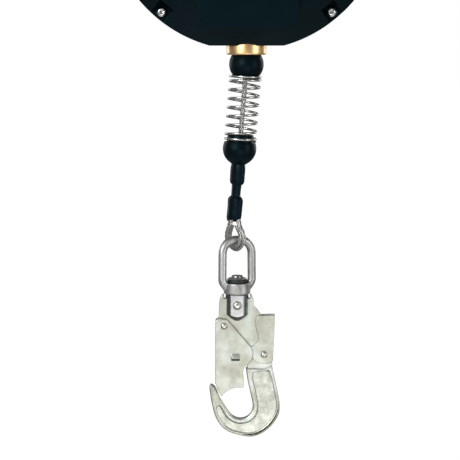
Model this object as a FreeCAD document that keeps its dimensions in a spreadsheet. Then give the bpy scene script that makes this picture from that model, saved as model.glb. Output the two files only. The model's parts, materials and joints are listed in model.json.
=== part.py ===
import FreeCAD, Part
import math
import os
import re

import Sketcher
from FreeCAD import Placement, Rotation, Vector

# Self retracting lifeline.  Millimetres, +Z up, the front faces -Y and the
# origin is the centre of the anchor eye that the unit hangs from.

doc = FreeCAD.newDocument("SelfRetractingLifeline")
sheet = doc.addObject("Spreadsheet::Sheet", "Dimensions")

DIMENSIONS = [
    # housing
    ("housing_drop", 183.0),        # anchor eye centre down to the drum axis
    ("eye_radius", 17.0),           # hole of the anchor eye
    ("housing_radius", 138.0),
    ("disc_radius", 109.0),         # raised middle of each cover
    ("cover_depth", 54.0),          # joint plane to the face of a cover
    ("rim_depth", 14.0),
    ("wall", 4.0),
    ("rim_inner_radius", 123.0),
    ("foot_drop", 133.0),           # drum axis down to the flat foot
    ("outlet_half_width", 48.5),
    ("outlet_depth", 58.0),
    ("outlet_drop", 119.6),
    ("gasket_half", 0.5),
    ("screw_circle", 130.0),
    ("screw_head_radius", 5.3),
    ("screw_seat", 9.0),
    # frame and shaft
    ("plate_radius", 102.0),
    ("plate_thickness", 3.0),
    ("front_plate_y", -44.0),
    ("rear_plate_y", 44.5),
    ("spacer_circle", 95.5),
    ("spacer_radius", 5.5),
    ("shaft_radius", 10.0),
    ("stem_radius", 8.0),
    # drum
    ("cable_diameter", 5.0),
    ("winding_radius", 75.0),       # cable centre on the outer layer
    ("hub_radius", 45.0),
    ("flange_radius", 88.0),
    ("drum_half_width", 20.0),
    ("flange_thickness", 3.0),
    ("ratchet_tip_radius", 44.0),
    ("ratchet_root_radius", 38.0),
    ("pawl_circle", 62.0),
    # cable outlet and buffer
    ("guide_radius", 19.75),
    ("guide_neck_radius", 14.0),
    ("guide_bottom", -325.1),
    ("guide_top", -311.6),
    ("lean", 4.6),                  # degrees that the cable leans
    ("ball_z", -334.6),
    ("ball_radius", 17.2),
    ("coil_radius", 15.0),
    ("coil_wire", 1.25),
    ("cup_radius", 16.8),
    ("cup_drop", 84.0),
    ("cup_seat", 77.7),
    ("neck_drop", 101.0),
    ("sleeve_end", 155.6),
    ("loop_drop", 172.5),
    ("thimble_radius", 8.6),
    # swivel eye and hook
    ("swivel_x", -9.2),
    ("eye_turn", 20.0),
    ("eye_bar_radius", 4.2),
    ("eye_side", 15.8),             # half the width between the bar's centres
    ("eye_arch", -509.7),           # height of the bar that the cable eye holds
    ("collar_radius", 13.4),
    ("collar_top", -553.1),
    ("collar_bottom", -564.1),
    ("stem_bore", 5.6),
    ("rivet_z", -575.1),
    ("web_half", 4.0),
    ("hook_half", 5.2),
    ("gate_inner", 5.5),
    ("gate_outer", 6.8),
    ("lever_inner", 4.15),
    ("lever_outer", 5.35),
]
for row, (alias, amount) in enumerate(DIMENSIONS, start=1):
    sheet.set("A%d" % row, alias.replace("_", " "))
    sheet.set("B%d" % row, str(amount))
    sheet.setAlias("B%d" % row, alias)
doc.recompute()

FRONT = Rotation(Vector(1, 0, 0), 90)      # local z to the front, local y up
REAR = Rotation(Vector(0, 0, 1), 180) * FRONT
UPRIGHT = Rotation()
SIDE = Rotation(Vector(0, -1, 0), Vector(0, 0, 1), Vector(-1, 0, 0), "ZXY")


def size(alias):
    return float(sheet.get(alias))


def amount_of(text):
    """Value of a sum of aliases and numbers, such as "wall + 3"."""
    total = 0.0
    for sign, word in re.findall(r"([+-]?)\s*([a-z_]+|[\d.]+)", text):
        value = size(word) if word[0].isalpha() else float(word)
        total += -value if sign == "-" else value
    return total


def bind(item, prop, text):
    item.setExpression(prop, re.sub(r"[a-z_]+", r"Dimensions.\g<0>", text))


centre = Vector(0, 0, -size("housing_drop"))
parts = []


def sub_part(item, label):
    item.Label = label
    parts.append(item)
    return item


# ---- building blocks -------------------------------------------------------

def cylinder(name, radius, height, at=Vector(), turn=UPRIGHT):
    item = doc.addObject("Part::Cylinder", name)
    bind(item, "Radius", radius)
    bind(item, "Height", height)
    item.Placement = Placement(at, turn)
    return item


def box(name, low, high, turn=UPRIGHT, at=Vector()):
    """A box between two corners given in its own frame."""
    item = doc.addObject("Part::Box", name)
    item.Length, item.Width, item.Height = [b - a for a, b in zip(low, high)]
    item.Placement = Placement(at, turn) * Placement(Vector(*low), Rotation())
    return item


def cut(name, base, *tools):
    item = doc.addObject("Part::Cut", name + "_cut")
    item.Base = base
    item.Tool = tools[0] if len(tools) == 1 else fuse(name + "_tools", *tools)
    return item


def fuse(name, *items):
    item = doc.addObject("Part::MultiFuse", name + "_fuse")
    item.Shapes = list(items)
    return item


def compound(name, items):
    item = doc.addObject("Part::Compound", name)
    item.Links = list(items)
    return item


def revolved(name, outline, at=Vector(), turn=UPRIGHT):
    """A PartDesign body turned about its own Z from (radius, height) corners."""
    body = doc.addObject("PartDesign::Body", name)
    sketch = body.newObject("Sketcher::SketchObject", name + "_outline")
    plane = [f for f in body.Origin.OriginFeatures if f.Role == "XZ_Plane"][0]
    sketch.AttachmentSupport = (plane, [""])
    sketch.MapMode = "FlatFace"
    corners = [[str(value) for value in corner] for corner in outline]
    spots = [Vector(amount_of(x), amount_of(y), 0) for x, y in corners]
    for spot, after in zip(spots, spots[1:] + spots[:1]):
        sketch.addGeometry(Part.LineSegment(spot, after))
    for number, (x, y) in enumerate(corners):
        follower = (number + 1) % len(corners)
        sketch.addConstraint(Sketcher.Constraint("Coincident", number, 2, follower, 1))
        for kind, text, value in (("DistanceX", x, spots[number].x),
                                  ("DistanceY", y, spots[number].y)):
            rule = sketch.addConstraint(
                Sketcher.Constraint(kind, -1, 1, number, 1, value))
            if re.search("[a-z]", text):
                bind(sketch, "Constraints[%d]" % rule, text)
    turned = body.newObject("PartDesign::Revolution", name + "_turned")
    turned.Profile = sketch
    turned.ReferenceAxis = (sketch, ["V_Axis"])
    turned.Angle = 360
    body.Placement = Placement(at, turn)
    return body


def ring(name, inner, outer, low, high, at=Vector(), turn=UPRIGHT):
    corners = [(inner, low), (outer, low), (outer, high), (inner, high)]
    return revolved(name, corners, at, turn)


def feature(name, shape, at=Vector(), turn=UPRIGHT):
    item = doc.addObject("Part::Feature", name)
    item.Shape = shape
    item.Placement = Placement(at, turn)
    return item


def outline_face(stretches):
    """A face from stretches of points: two points a line, more a curve."""
    edges = []
    for stretch in stretches:
        spots = [Vector(x, y, 0) for x, y in stretch]
        if len(spots) == 2:
            edges.append(Part.LineSegment(*spots).toShape())
        elif len(spots) == 3:
            edges.append(Part.Arc(*spots).toShape())
        else:
            curve = Part.BSplineCurve()
            curve.interpolate(spots)
            edges.append(curve.toShape())
    return Part.Face(Part.Wire(edges))


def plate(stretches, low, high):
    face = outline_face(stretches)
    face.translate(Vector(0, 0, low))
    return face.extrude(Vector(0, 0, high - low))


def polygon(points, low, high):
    corners = [Vector(x, y, low) for x, y in points]
    face = Part.Face(Part.makePolygon(corners + corners[:1]))
    return face.extrude(Vector(0, 0, high - low))


def rounded_path(points, radii):
    """Straight runs through points, joined by tangent arcs at the inner ones."""
    edges, start = [], points[0]
    for before, corner, after, radius in zip(points, points[1:], points[2:], radii):
        back = (before - corner).normalize()
        ahead = (after - corner).normalize()
        half_turn = (math.pi - back.getAngle(ahead)) / 2
        reach = radius * math.tan(half_turn)
        to_middle = (back + ahead).normalize()
        middle = corner + to_middle * (radius / math.cos(half_turn) - radius)
        first, last = corner + back * reach, corner + ahead * reach
        if (first - start).Length > 1e-6:
            edges.append(Part.LineSegment(start, first).toShape())
        edges.append(Part.Arc(first, middle, last).toShape())
        start = last
    edges.append(Part.LineSegment(start, points[-1]).toShape())
    return Part.Wire(edges)


def tube(path, radius):
    """A round rod along a smooth path."""
    first = path.Edges[0]
    direction = first.tangentAt(first.FirstParameter)
    circle = Part.makeCircle(radius, path.Edges[0].valueAt(first.FirstParameter), direction)
    return path.makePipeShell([Part.Wire(circle)], True, False)


def cord_radii(points):
    """0.45 of the shorter run over the tangent of half the turn."""
    radii = []
    for before, corner, after in zip(points, points[1:], points[2:]):
        back, ahead = before - corner, after - corner
        half_turn = (math.pi - back.getAngle(ahead)) / 2
        radii.append(0.45 * min(back.Length, ahead.Length) / math.tan(half_turn))
    return radii


def around(count, radius, first=0.0, step=None):
    """Points on a circle in the local XY plane, with their angles."""
    step = 360.0 / count if step is None else step
    for number in range(count):
        angle = math.radians(first + number * step)
        yield Vector(radius * math.cos(angle), radius * math.sin(angle), 0), angle


# ---- covers ----------------------------------------------------------------

COVER_OUTSIDE = [
    ("0", "gasket_half"), ("housing_radius", "gasket_half"),
    ("housing_radius", "rim_depth - 2"), ("housing_radius - 2", "rim_depth"),
    ("disc_radius + 3", "cover_depth - 9"), ("disc_radius", "cover_depth - 5"),
    ("disc_radius - 3", "cover_depth - 2"), ("92", "cover_depth"), ("0", "cover_depth"),
]
COVER_INSIDE = [
    ("0", "-1"), ("rim_inner_radius", "-1"), ("rim_inner_radius", "rim_depth"),
    ("disc_radius - 2", "cover_depth - 8"), ("disc_radius - 4", "cover_depth - wall"),
    ("0", "cover_depth - wall"),
]
SCREW_ANGLES = [-90 + side * angle for angle in (40, 80, 120, 160) for side in (-1, 1)]
foot = -size("foot_drop")


def screw_spots(radius):
    for angle in SCREW_ANGLES:
        turn = math.radians(angle)
        yield Vector(radius * math.cos(turn), radius * math.sin(turn), 0), angle


def cover_blank(name, turn):
    outside = revolved(name + "_outside", COVER_OUTSIDE, centre, turn)
    inside = revolved(name + "_inside", COVER_INSIDE, centre, turn)
    foot_cut = box(name + "_foot", (-80, foot - 20, -5), (80, foot, 80), turn, centre)
    return outside, inside, foot_cut


def shared_cuts(name):
    """Bores that both covers share: screws, cable guide and anchor stem."""
    holes = [cylinder("%s_hole%d" % (name, number), "2.6", "200",
                      centre + Vector(spot.x, 100, spot.y), FRONT)
             for number, (spot, angle) in enumerate(screw_spots(size("screw_circle")))]
    guide = cylinder(name + "_guide", "guide_neck_radius + 0.1", "40",
                     Vector(0, 0, size("guide_bottom")))
    seat = cylinder(name + "_seat", "guide_radius + 0.15", "13.5",
                    Vector(0, 0, size("guide_bottom")))
    stem = cylinder(name + "_stem", "stem_radius + 0.5", "60",
                    centre + Vector(0, 0, 95))
    return holes + [guide, seat, stem]


def front_cover():
    outside, inside, foot_cut = cover_blank("front", FRONT)
    half, drop = size("outlet_half_width"), size("outlet_drop")
    depth, wall = size("outlet_depth"), size("wall")
    block = feature("outlet_block", polygon(
        [(20, -drop), (depth - 7, -drop), (depth, -drop + 6), (depth, -46),
         (depth - 5, -40), (20, -40)], -half, half), centre, SIDE)
    hollow = feature("outlet_hollow", polygon(
        [(10, -drop + wall), (depth - 8, -drop + wall), (depth - wall, -drop + 8),
         (depth - wall, -48), (10, -48)], -half + wall, half - wall), centre, SIDE)
    pockets = []
    for number, (spot, angle) in enumerate(screw_spots(size("screw_circle"))):
        low = Vector(-8, -8.5, size("screw_seat"))
        pocket = box("front_pocket%d" % number, low, (14, 8.5, 60))
        pocket.Placement = (Placement(centre + Vector(spot.x, 0, spot.y), FRONT)
                            * Placement(Vector(), Rotation(Vector(0, 0, 1), angle))
                            * Placement(low, Rotation()))
        pockets.append(pocket)
    shell = fuse("front_shell", outside, block)
    return sub_part(cut("front_cover", shell, inside, hollow, foot_cut,
                        *(pockets + shared_cuts("front"))), "front_cover")


def rear_cover():
    outside, inside, foot_cut = cover_blank("rear", REAR)
    nuts = [cylinder("rear_nut_seat%d" % number, "4.6", "4",
                     centre + Vector(spot.x, 14, spot.y), FRONT)
            for number, (spot, angle) in enumerate(screw_spots(size("screw_circle")))]
    return sub_part(cut("rear_cover", outside, inside, foot_cut,
                        *(nuts + shared_cuts("rear"))), "rear_cover")


front_cover()
rear_cover()


def fasteners():
    """Button head screws in the front pockets and nuts in the rear cover."""
    screws, nuts = [], []
    seat = size("screw_seat")
    for number, (spot, angle) in enumerate(screw_spots(size("screw_circle"))):
        at = centre + Vector(spot.x, 0, spot.y)
        screw = revolved("cover_screw%d" % number, [
            ("0", -13), ("2.5", -13), ("2.5", "screw_seat"),
            ("screw_head_radius", "screw_seat"), ("screw_head_radius - 0.2", seat + 1.6),
            ("screw_head_radius - 2", seat + 3.1), (1.8, seat + 3.3), (1.8, seat + 1.2),
            (0, seat + 1.2)], at, FRONT)
        screws.append(screw)
        nuts.append(ring("cover_nut%d" % number, 2.5, 4.5, -13.8, -10.2, at, FRONT))
    sub_part(compound("cover_screws", screws), "cover_screws")
    sub_part(compound("cover_nuts", nuts), "cover_nuts")
    gasket = ring("gasket_ring", "rim_inner_radius", "housing_radius",
                  "0 - gasket_half", "gasket_half", centre, FRONT)
    tools = [box("gasket_foot", (-80, foot - 20, -5), (80, foot, 5), FRONT, centre)]
    sub_part(cut("cover_gasket", gasket, *(tools + shared_cuts("gasket"))), "cover_gasket")


fasteners()


# ---- frame, anchor and shaft -----------------------------------------------

SPACER_ANGLES = (-150, -30, 35, 145)
front_y, rear_y = size("front_plate_y"), size("rear_plate_y")
block_low, block_high = 90.5, 100.5


def spacer_spots():
    for angle in SPACER_ANGLES:
        turn = math.radians(angle)
        radius = size("spacer_circle")
        yield Vector(radius * math.cos(turn), 0, radius * math.sin(turn))


def frame():
    bolts, spacers = [], []
    block_bolts = [Vector(side * 24, 0, 95.5) for side in (-1, 1)]
    for name, y in (("frame_plate_front", front_y), ("frame_plate_rear", rear_y)):
        disc = ring(name + "_disc", "8.03", "plate_radius",
                    0, "plate_thickness",
                    centre + Vector(0, y + size("plate_thickness"), 0), FRONT)
        cuts = [cylinder("%s_bore%d" % (name, number), "3.05", "12",
                         centre + spot + Vector(0, y + 8, 0), FRONT)
                for number, spot in enumerate(list(spacer_spots()) + block_bolts)]
        windows = [cylinder("%s_window%d" % (name, number), "17", "12",
                            centre + Vector(68 * math.cos(turn), y + 8,
                                            68 * math.sin(turn)), FRONT)
                   for number, turn in enumerate(
                       math.radians(angle) for angle in (0, 60, 120, 180, 240, 300))]
        sub_part(cut(name, disc, *(cuts + windows)), name)
    inner = rear_y - front_y - size("plate_thickness")
    for number, spot in enumerate(spacer_spots()):
        at = centre + spot + Vector(0, rear_y, 0)
        spacers.append(ring("spacer%d" % number, 3.05, "spacer_radius", 0, inner,
                            at, FRONT))
        bolts.append(bolt("frame_bolt%d" % number, at))
    for number, spot in enumerate(block_bolts):
        bolts.append(bolt("block_bolt%d" % number, centre + spot + Vector(0, rear_y, 0)))
    sub_part(compound("frame_spacers", spacers), "frame_spacers")
    sub_part(compound("frame_bolts", bolts), "frame_bolts")
    block = box("anchor_block_bar", (-34, front_y + 3, block_low), (34, rear_y, block_high),
                UPRIGHT, centre)
    block_cuts = [cylinder("block_bore%d" % number, "3.05", "100",
                           centre + spot + Vector(0, 50, 0), FRONT)
                  for number, spot in enumerate(block_bolts)]
    block_cuts.append(cylinder("block_stem_bore", "stem_radius + 0.05", "40",
                               centre + Vector(0, 0, 80)))
    sub_part(cut("anchor_block", block, *block_cuts), "anchor_block")


def bolt(name, at):
    """A frame bolt along Y with its head and nut outside the two plates."""
    inner = rear_y - front_y - size("plate_thickness")
    thick = size("plate_thickness")
    return revolved(name, [
        (0, -thick - 1.8), (5, -thick - 1.8), (5, -thick), (3, -thick),
        (3, inner + thick), (5, inner + thick), (5, inner + thick + 1.8),
        (0, inner + thick + 1.8)], at, FRONT)


def anchor():
    """Swivel anchor eye: a flat forged ring on a stem held by a nut."""
    hoop = doc.addObject("Part::Torus", "anchor_hoop")
    hoop.Radius1, hoop.Radius2 = 23, 8
    hoop.Placement = Placement(Vector(), FRONT)
    land = cylinder("anchor_land", "eye_radius", "30", Vector(0, 15, 0), FRONT)
    stem = revolved("anchor_stem", [
        (0, -101), (7.8, -101), ("stem_radius", -99), ("stem_radius", -44.5),
        (12.5, -44.5), (12.5, -39), (9, -34), (9, -26), (0, -26)])
    sub_part(cut("anchor_eye", fuse("anchor_forging", hoop, stem), land), "anchor_eye")
    sub_part(feature("anchor_nut", hexagon(12, "stem_radius", 8.4),
                     centre + Vector(0, 0, block_low - 8.5)), "anchor_nut")
    sub_part(ring("anchor_washer", "stem_radius + 0.1", 13.5, -45, -44.55), "anchor_washer")


def hexagon(across_half, bore, height):
    corners = [(point.x, point.y) for point, angle in around(6, across_half / 0.866)]
    return polygon(corners, 0, height).cut(Part.makeCylinder(amount_of(bore), height))


def shaft():
    """Fixed shaft along Y: journals for the drum and a collar for the brake."""
    sub_part(revolved("main_shaft", [
        (0, front_y - 5.2), (8, front_y - 5.2), (8, front_y + 3),
        ("shaft_radius", front_y + 3), ("shaft_radius", 23.6), (34, 23.6), (34, 25.4),
        ("shaft_radius", 25.4), ("shaft_radius", rear_y), (8, rear_y),
        (8, rear_y + 5.2), (0, rear_y + 5.2)], centre, Rotation(Vector(1, 0, 0), -90)),
        "main_shaft")
    nuts = [feature("shaft_nut_front", hexagon(12, "8", 2),
                    centre + Vector(0, front_y, 0), FRONT),
            feature("shaft_nut_rear", hexagon(12, "8", 2),
                    centre + Vector(0, rear_y + 5, 0), FRONT)]
    sub_part(compound("shaft_nuts", nuts), "shaft_nuts")


frame()
anchor()
shaft()


# ---- drum, power spring and brake -------------------------------------------

REARWARD = Rotation(Vector(1, 0, 0), -90)     # local z to the rear, local y down
PAWL_LOW, PAWL_HIGH = 27.4, 32.0
PAWL_ANGLES = (15, 195)


def pawl_centre(angle):
    out = Rotation(Vector(0, 0, 1), angle).multVec(Vector(size("pawl_circle"), 0, 0))
    return centre + REARWARD.multVec(out)


def drum():
    half, thick = "drum_half_width", "flange_thickness"
    sub_part(ring("drum_hub", 16, "hub_radius", "0 - " + half, half, centre, REARWARD),
             "drum_hub")
    sub_part(ring("drum_flange_front", 16, "flange_radius",
                  "0 - drum_half_width - flange_thickness", "0 - drum_half_width",
                  centre, REARWARD), "drum_flange_front")
    rear = ring("flange_rear_disc", 36, "flange_radius", half,
                "drum_half_width + flange_thickness", centre, REARWARD)
    holes = [cylinder("pawl_pin_hole%d" % angle, "3.02", "12",
                      pawl_centre(angle) + Vector(0, 15, 0), REARWARD)
             for angle in PAWL_ANGLES]
    sub_part(cut("drum_flange_rear", rear, *holes), "drum_flange_rear")
    bearings = [ring("bearing%d" % number, "shaft_radius", 16, low, low + 10,
                     centre, REARWARD) for number, low in enumerate((-20, 10))]
    sub_part(compound("drum_bearings", bearings), "drum_bearings")
    wraps = []
    radius, wire = size("winding_radius") - 2.9, size("cable_diameter")
    width = size("drum_half_width") - 0.1
    count = 8
    for number in range(count):
        left = -width + number * 2 * width / count
        wraps += [(radius - 1.6, left), (radius, left + wire / 2)]
    sub_part(revolved("wound_cable", [("hub_radius", -width)] + wraps
                      + [(radius - 1.6, width), ("hub_radius", width)],
                      centre, REARWARD), "wound_cable")


def power_spring():
    """Case on the front flange; the flat spring is drawn as its coiled ring."""
    front = -size("drum_half_width") - size("flange_thickness")
    deep = 13.5
    sub_part(revolved("spring_case", [
        (16.5, front), (16.5, front - 1.5), (60.5, front - 1.5), (60.5, front - deep),
        (62, front - deep), (62, front)], centre, REARWARD), "spring_case")
    sub_part(ring("spring_cover", 16.5, 62, front - deep - 1.2, front - deep,
                  centre, REARWARD), "spring_cover")
    sub_part(ring("power_spring", 14.4, 60.2, front - deep + 0.4, front - 1.9,
                  centre, REARWARD), "power_spring")
    sub_part(ring("spring_arbor", "shaft_radius", 14, front - deep - 2, front - 0.6,
                  centre, REARWARD), "spring_arbor")


def brake():
    """Ratchet wheel clamped between linings on the shaft collar."""
    teeth = 12
    tip, root = size("ratchet_tip_radius"), size("ratchet_root_radius")
    corners = []
    for point, angle in around(teeth, root):
        late = angle + math.radians(360 / teeth - 3)
        corners += [(point.x, point.y), (tip * math.cos(late), tip * math.sin(late))]
    low = 27.2
    wheel = polygon(corners, low, low + 5).cut(
        Part.makeCylinder(size("shaft_radius") + 0.3, 10, Vector(0, 0, low - 1)))
    sub_part(feature("ratchet_wheel", wheel, centre, REARWARD), "ratchet_wheel")
    for name, inner, outer, start, height in (
            ("friction_lining_front", 14, 34, 25.4, 1.8),
            ("friction_lining_rear", 14, 34, 32.2, 1.8),
            ("pressure_plate", 10, 34, 34, 2.5)):
        sub_part(ring(name, inner, outer, start, start + height, centre, REARWARD), name)
    sub_part(revolved("disc_spring", [(10.2, 38), (10.2, 39), (22, 37.5), (22, 36.5)],
                      centre, REARWARD), "disc_spring")
    sub_part(feature("brake_nut", hexagon(15, "shaft_radius", 5.2),
                     centre + Vector(0, 39, 0), REARWARD), "brake_nut")


def pawls():
    """Two pawls on the rear flange, held off the wheel by light springs."""
    pins, springs = [], []
    for number, angle in enumerate(PAWL_ANGLES, start=1):
        turn = Rotation(Vector(0, 0, 1), angle)
        arm = polygon([(-5, -4), (3, -6), (6, 0), (3, 6), (-8, 20), (-13, 24.5),
                       (-14.8, 22.5), (-11, 15), (-6, 4)], PAWL_LOW, PAWL_HIGH)
        arm = arm.cut(Part.makeCylinder(3.02, 20, Vector(0, 0, PAWL_LOW - 5)))
        at = pawl_centre(angle)
        sub_part(feature("pawl_%d" % number, arm, at, REARWARD * turn), "pawl_%d" % number)
        pins.append(revolved("pawl_pin%d" % number, [
            (0, 20), (3, 20), (3, 32.3), (5, 32.3), (5, 33.5), (0, 33.5)], at, REARWARD))
        springs.append(ring("pawl_spring%d" % number, 3.6, 5.4, 23.3, 27, at, REARWARD))
    sub_part(compound("pawl_pins", pins), "pawl_pins")
    sub_part(compound("pawl_springs", springs), "pawl_springs")


drum()
power_spring()
brake()
pawls()


# ---- cable outlet -----------------------------------------------------------

lean = math.radians(size("lean"))
LEANING = Placement(Vector(0, 0, size("ball_z")), Rotation(Vector(0, 1, 0), size("lean")))


def on_line(z):
    """The point of the cable's line at a height."""
    return Vector((z - size("ball_z")) * math.tan(lean), 0, z)


def seat_height(radius, clearance=0.4):
    """Height of the guide's cupped mouth, which the bumper ball nests in."""
    reach = size("ball_radius") + clearance
    return size("ball_z") + math.sqrt(reach ** 2 - radius ** 2)


def cable_guide():
    bottom, top = size("guide_bottom"), size("guide_top")
    sub_part(revolved("cable_guide", [
        (7.5, seat_height(7.5)), (11, seat_height(11)), (14.8, bottom),
        ("guide_radius - 1.2", bottom), ("guide_radius - 0.35", bottom + 0.4),
        ("guide_radius", bottom + 1.4), ("guide_radius", top),
        ("guide_neck_radius", top), ("guide_neck_radius", -291),
        (13.2, -291), (10.4, -297), (8.2, -302), (7.5, -307)]), "cable_guide")
    sub_part(ring("guide_nut", "guide_neck_radius", 18.5, -303.0, -297.0), "guide_nut")


RUN_BEND, RUN_END = -294.0, -312.0


def inner_cables():
    """The cable from the drum to the guide, and the first stretch below it."""
    bend, end = on_line(RUN_BEND), on_line(RUN_END)
    to_axis = centre - bend
    radius = size("winding_radius")
    reach = math.sqrt(to_axis.Length ** 2 - radius ** 2)
    turn = math.atan2(to_axis.x, to_axis.z) + math.asin(radius / to_axis.Length)
    leave = bend + Vector(math.sin(turn), 0, math.cos(turn)) * reach
    points = [leave, bend, end]
    radii = cord_radii(points)
    print("cable_run points", [tuple(round(v, 2) for v in p) for p in points],
          "radii", [round(r, 1) for r in radii])
    half = size("cable_diameter") / 2
    sub_part(feature("cable_run", tube(rounded_path(points, radii), half)), "cable_run")
    inside_ball = on_line(size("ball_z") + 6)
    sub_part(feature("payout_cable", tube(rounded_path([end, inside_ball], []), half)),
             "payout_cable")


cable_guide()
inner_cables()


# ---- buffer on the lifeline -------------------------------------------------
# These sit in the cable's own frame: the origin at the ball's centre, z up along it.

def arc_corners(radius, middle, low, high, count=9):
    """Corners of a round profile between two heights."""
    first = math.asin((low - middle) / radius)
    last = math.asin((high - middle) / radius)
    for number in range(count + 1):
        angle = first + (last - first) * number / count
        yield (radius * math.cos(angle), middle + radius * math.sin(angle))


def lifeline_part(name, shape):
    return sub_part(feature(name, shape, LEANING.Base, LEANING.Rotation), name)


def bumpers():
    ball = list(arc_corners(size("ball_radius"), 0, -9.9, 12, 11))
    sub_part(revolved("upper_bumper", [(3.2, -14), (12.9, -14), (13.3, -9.9)] + ball
                      + [(3.2, 12)], LEANING.Base, LEANING.Rotation), "upper_bumper")


def lower_bumper(rope):
    """Rubber cup under the spring, with a boss inside its last coils."""
    seat, drop = size("cup_seat"), size("cup_drop")
    neck = drop + 15.3
    cup = list(arc_corners(size("cup_radius"), -drop, -neck, -seat, 11))
    body = revolved("bumper_cup", [(0, -neck)] + cup + [
        (13.3, -seat), (12.9, -seat + 8), (0, -seat + 8)],
        LEANING.Base, LEANING.Rotation)
    channel = feature("bumper_channel", rope, LEANING.Base, LEANING.Rotation)
    sub_part(cut("lower_bumper", body, channel), "lower_bumper")


SPRING_TURNS = 9.0
SPRING_TOP = 11.4


def spring_path(steps_per_turn=12):
    """Right-handed coil, closed at both ends, from the bottom up."""
    bottom = -(size("cup_seat") - size("coil_wire") - 0.1)
    count = int(SPRING_TURNS * steps_per_turn)

    def opening(turns):
        near_end = min(turns, SPRING_TURNS - turns)
        share = min(max((near_end - 0.6) / 1.2, 0), 1)
        return 0.31 + 0.69 * share * share * (3 - 2 * share)

    rises = [opening((number + 0.5) / steps_per_turn) for number in range(count)]
    scale = (-SPRING_TOP - bottom) / sum(rises)
    height, radius = bottom, size("coil_radius")
    spots = [Vector(radius, 0, height)]
    for number, rise in enumerate(rises, start=1):
        angle = 2 * math.pi * number / steps_per_turn
        height += rise * scale
        spots.append(Vector(radius * math.cos(angle), radius * math.sin(angle), height))
    curve = Part.BSplineCurve()
    curve.interpolate(spots)
    return Part.Wire(curve.toShape())


def buffer_spring():
    path = spring_path()
    start = path.Edges[0].valueAt(path.Edges[0].FirstParameter)
    along = path.Edges[0].tangentAt(path.Edges[0].FirstParameter)
    section = Part.Wire(Part.makeCircle(size("coil_wire"), start, along))
    lifeline_part("buffer_spring", path.makePipeShell([section], True, True))


bumpers()
buffer_spring()


# ---- cable eye ---------------------------------------------------------------

LOOP_TURN = -50.0            # the eye's plane, turned about the cable's line
LOOP_TILT = -9.0
STRAND = size("cable_diameter") / 2 + 0.1
loop = -size("loop_drop")
rope_radius = size("thimble_radius") + 0.9 + size("cable_diameter") / 2
loop_height = size("loop_drop") - size("sleeve_end")


def flare(radius, width):
    """Half the angle between the eye's two straight sides."""
    reach = math.hypot(loop_height, width)
    return math.asin(radius / reach) - math.atan2(width, loop_height)


side_lean = flare(rope_radius, STRAND)
# Below the sleeve the eye swings back under the load.
bend = Vector(0, 0, 1 - size("sleeve_end"))
TILT = Placement(bend, Rotation(Vector(0, 1, 0), LOOP_TILT)) * Placement(-bend, Rotation())


def in_loop(x, z):
    """A point beside the cable's line, in the eye's plane and the cable's frame."""
    turn = math.radians(LOOP_TURN)
    return Vector(x * math.cos(turn), x * math.sin(turn), z)


def in_eye(x, z):
    """A point of the eye below the sleeve."""
    return TILT.multVec(in_loop(x, z))


def teardrop(radius, low, high):
    """A solid teardrop about the eye's centre, its sides in line with the rope's."""
    cos, sin = math.cos(side_lean), math.sin(side_lean)
    top = max((radius - loop_height * sin) / cos, 0.3)
    touch = Vector(radius * cos, radius * sin, low)
    corner = Vector(top, loop_height, low)
    edges = [
        Part.Arc(Vector(-touch.x, touch.y, low), Vector(0, -radius, low), touch).toShape(),
        Part.LineSegment(touch, corner).toShape(),
        Part.LineSegment(corner, Vector(-corner.x, corner.y, low)).toShape(),
        Part.LineSegment(Vector(-corner.x, corner.y, low),
                         Vector(-touch.x, touch.y, low)).toShape()]
    return Part.Face(Part.Wire(edges)).extrude(Vector(0, 0, high - low))


def cable_eye():
    start_angle = math.pi - side_lean
    sweep = math.pi + 2 * side_lean
    corners = []
    for number in range(3):
        angle = start_angle + sweep * (number + 0.5) / 3
        out = rope_radius / math.cos(sweep / 6)
        corners.append(in_eye(out * math.cos(angle), loop + out * math.sin(angle)))
    left = [Vector(0, 0, 6), Vector(0, 0, -88), in_loop(-STRAND, -103),
            in_loop(-STRAND, bend.z)]
    right = [in_loop(STRAND, bend.z), in_loop(STRAND, -104)]
    points = left + corners + right
    radii = cord_radii(points)
    radii[3:6] = [rope_radius] * 3
    radii[2] = min(radii[2], 14)
    radii[6] = min(radii[6], 14)
    print("lifeline_cable points", [tuple(round(v, 2) for v in p) for p in points])
    print("lifeline_cable radii", [round(r, 1) for r in radii])
    path = rounded_path(points, radii)
    half = size("cable_diameter") / 2
    rope = tube(path, half)
    print("length %.1f" % path.Length, "volume share",
          round(rope.Volume / (math.pi * half ** 2 * path.Length), 4))
    lifeline_part("lifeline_cable", rope)
    return rope


def thimble():
    inner = size("thimble_radius")
    wide = size("cable_diameter") / 2 + 0.85
    lining = teardrop(inner + 0.85, -wide, wide)
    for low in (-wide, wide - 0.75):
        lining = lining.fuse(teardrop(inner + 3.4, low, low + 0.75))
    lining = lining.cut(teardrop(inner, -wide - 1, wide + 1))
    window = Part.makeBox(40, 12, 20, Vector(-20, loop_height - 5.5, -10))
    lining = lining.cut(window)
    stand = (LEANING * TILT * Placement(Vector(0, 0, loop),
                                        Rotation(Vector(0, 0, 1), LOOP_TURN))
             * Placement(Vector(), FRONT))
    sub_part(feature("thimble", lining, stand.Base, stand.Rotation), "thimble")


def oval(wide, deep, z):
    """An ellipse across the cable, wide in the eye's plane."""
    ellipse = Part.Ellipse(Vector(0, 0, z), wide, deep).toShape()
    ellipse.rotate(Vector(0, 0, z), Vector(0, 0, 1), LOOP_TURN)
    return Part.Wire(ellipse)


def stacked(spans):
    """A solid of oval sections given as height, half width and half depth."""
    ovals = [oval(wide, deep, z) for z, wide, deep in spans]
    return Part.makeLoft(ovals[:2], True, True).fuse(
        [Part.makeLoft([low, high], True, True) for low, high in zip(ovals[1:], ovals[2:])])


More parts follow.
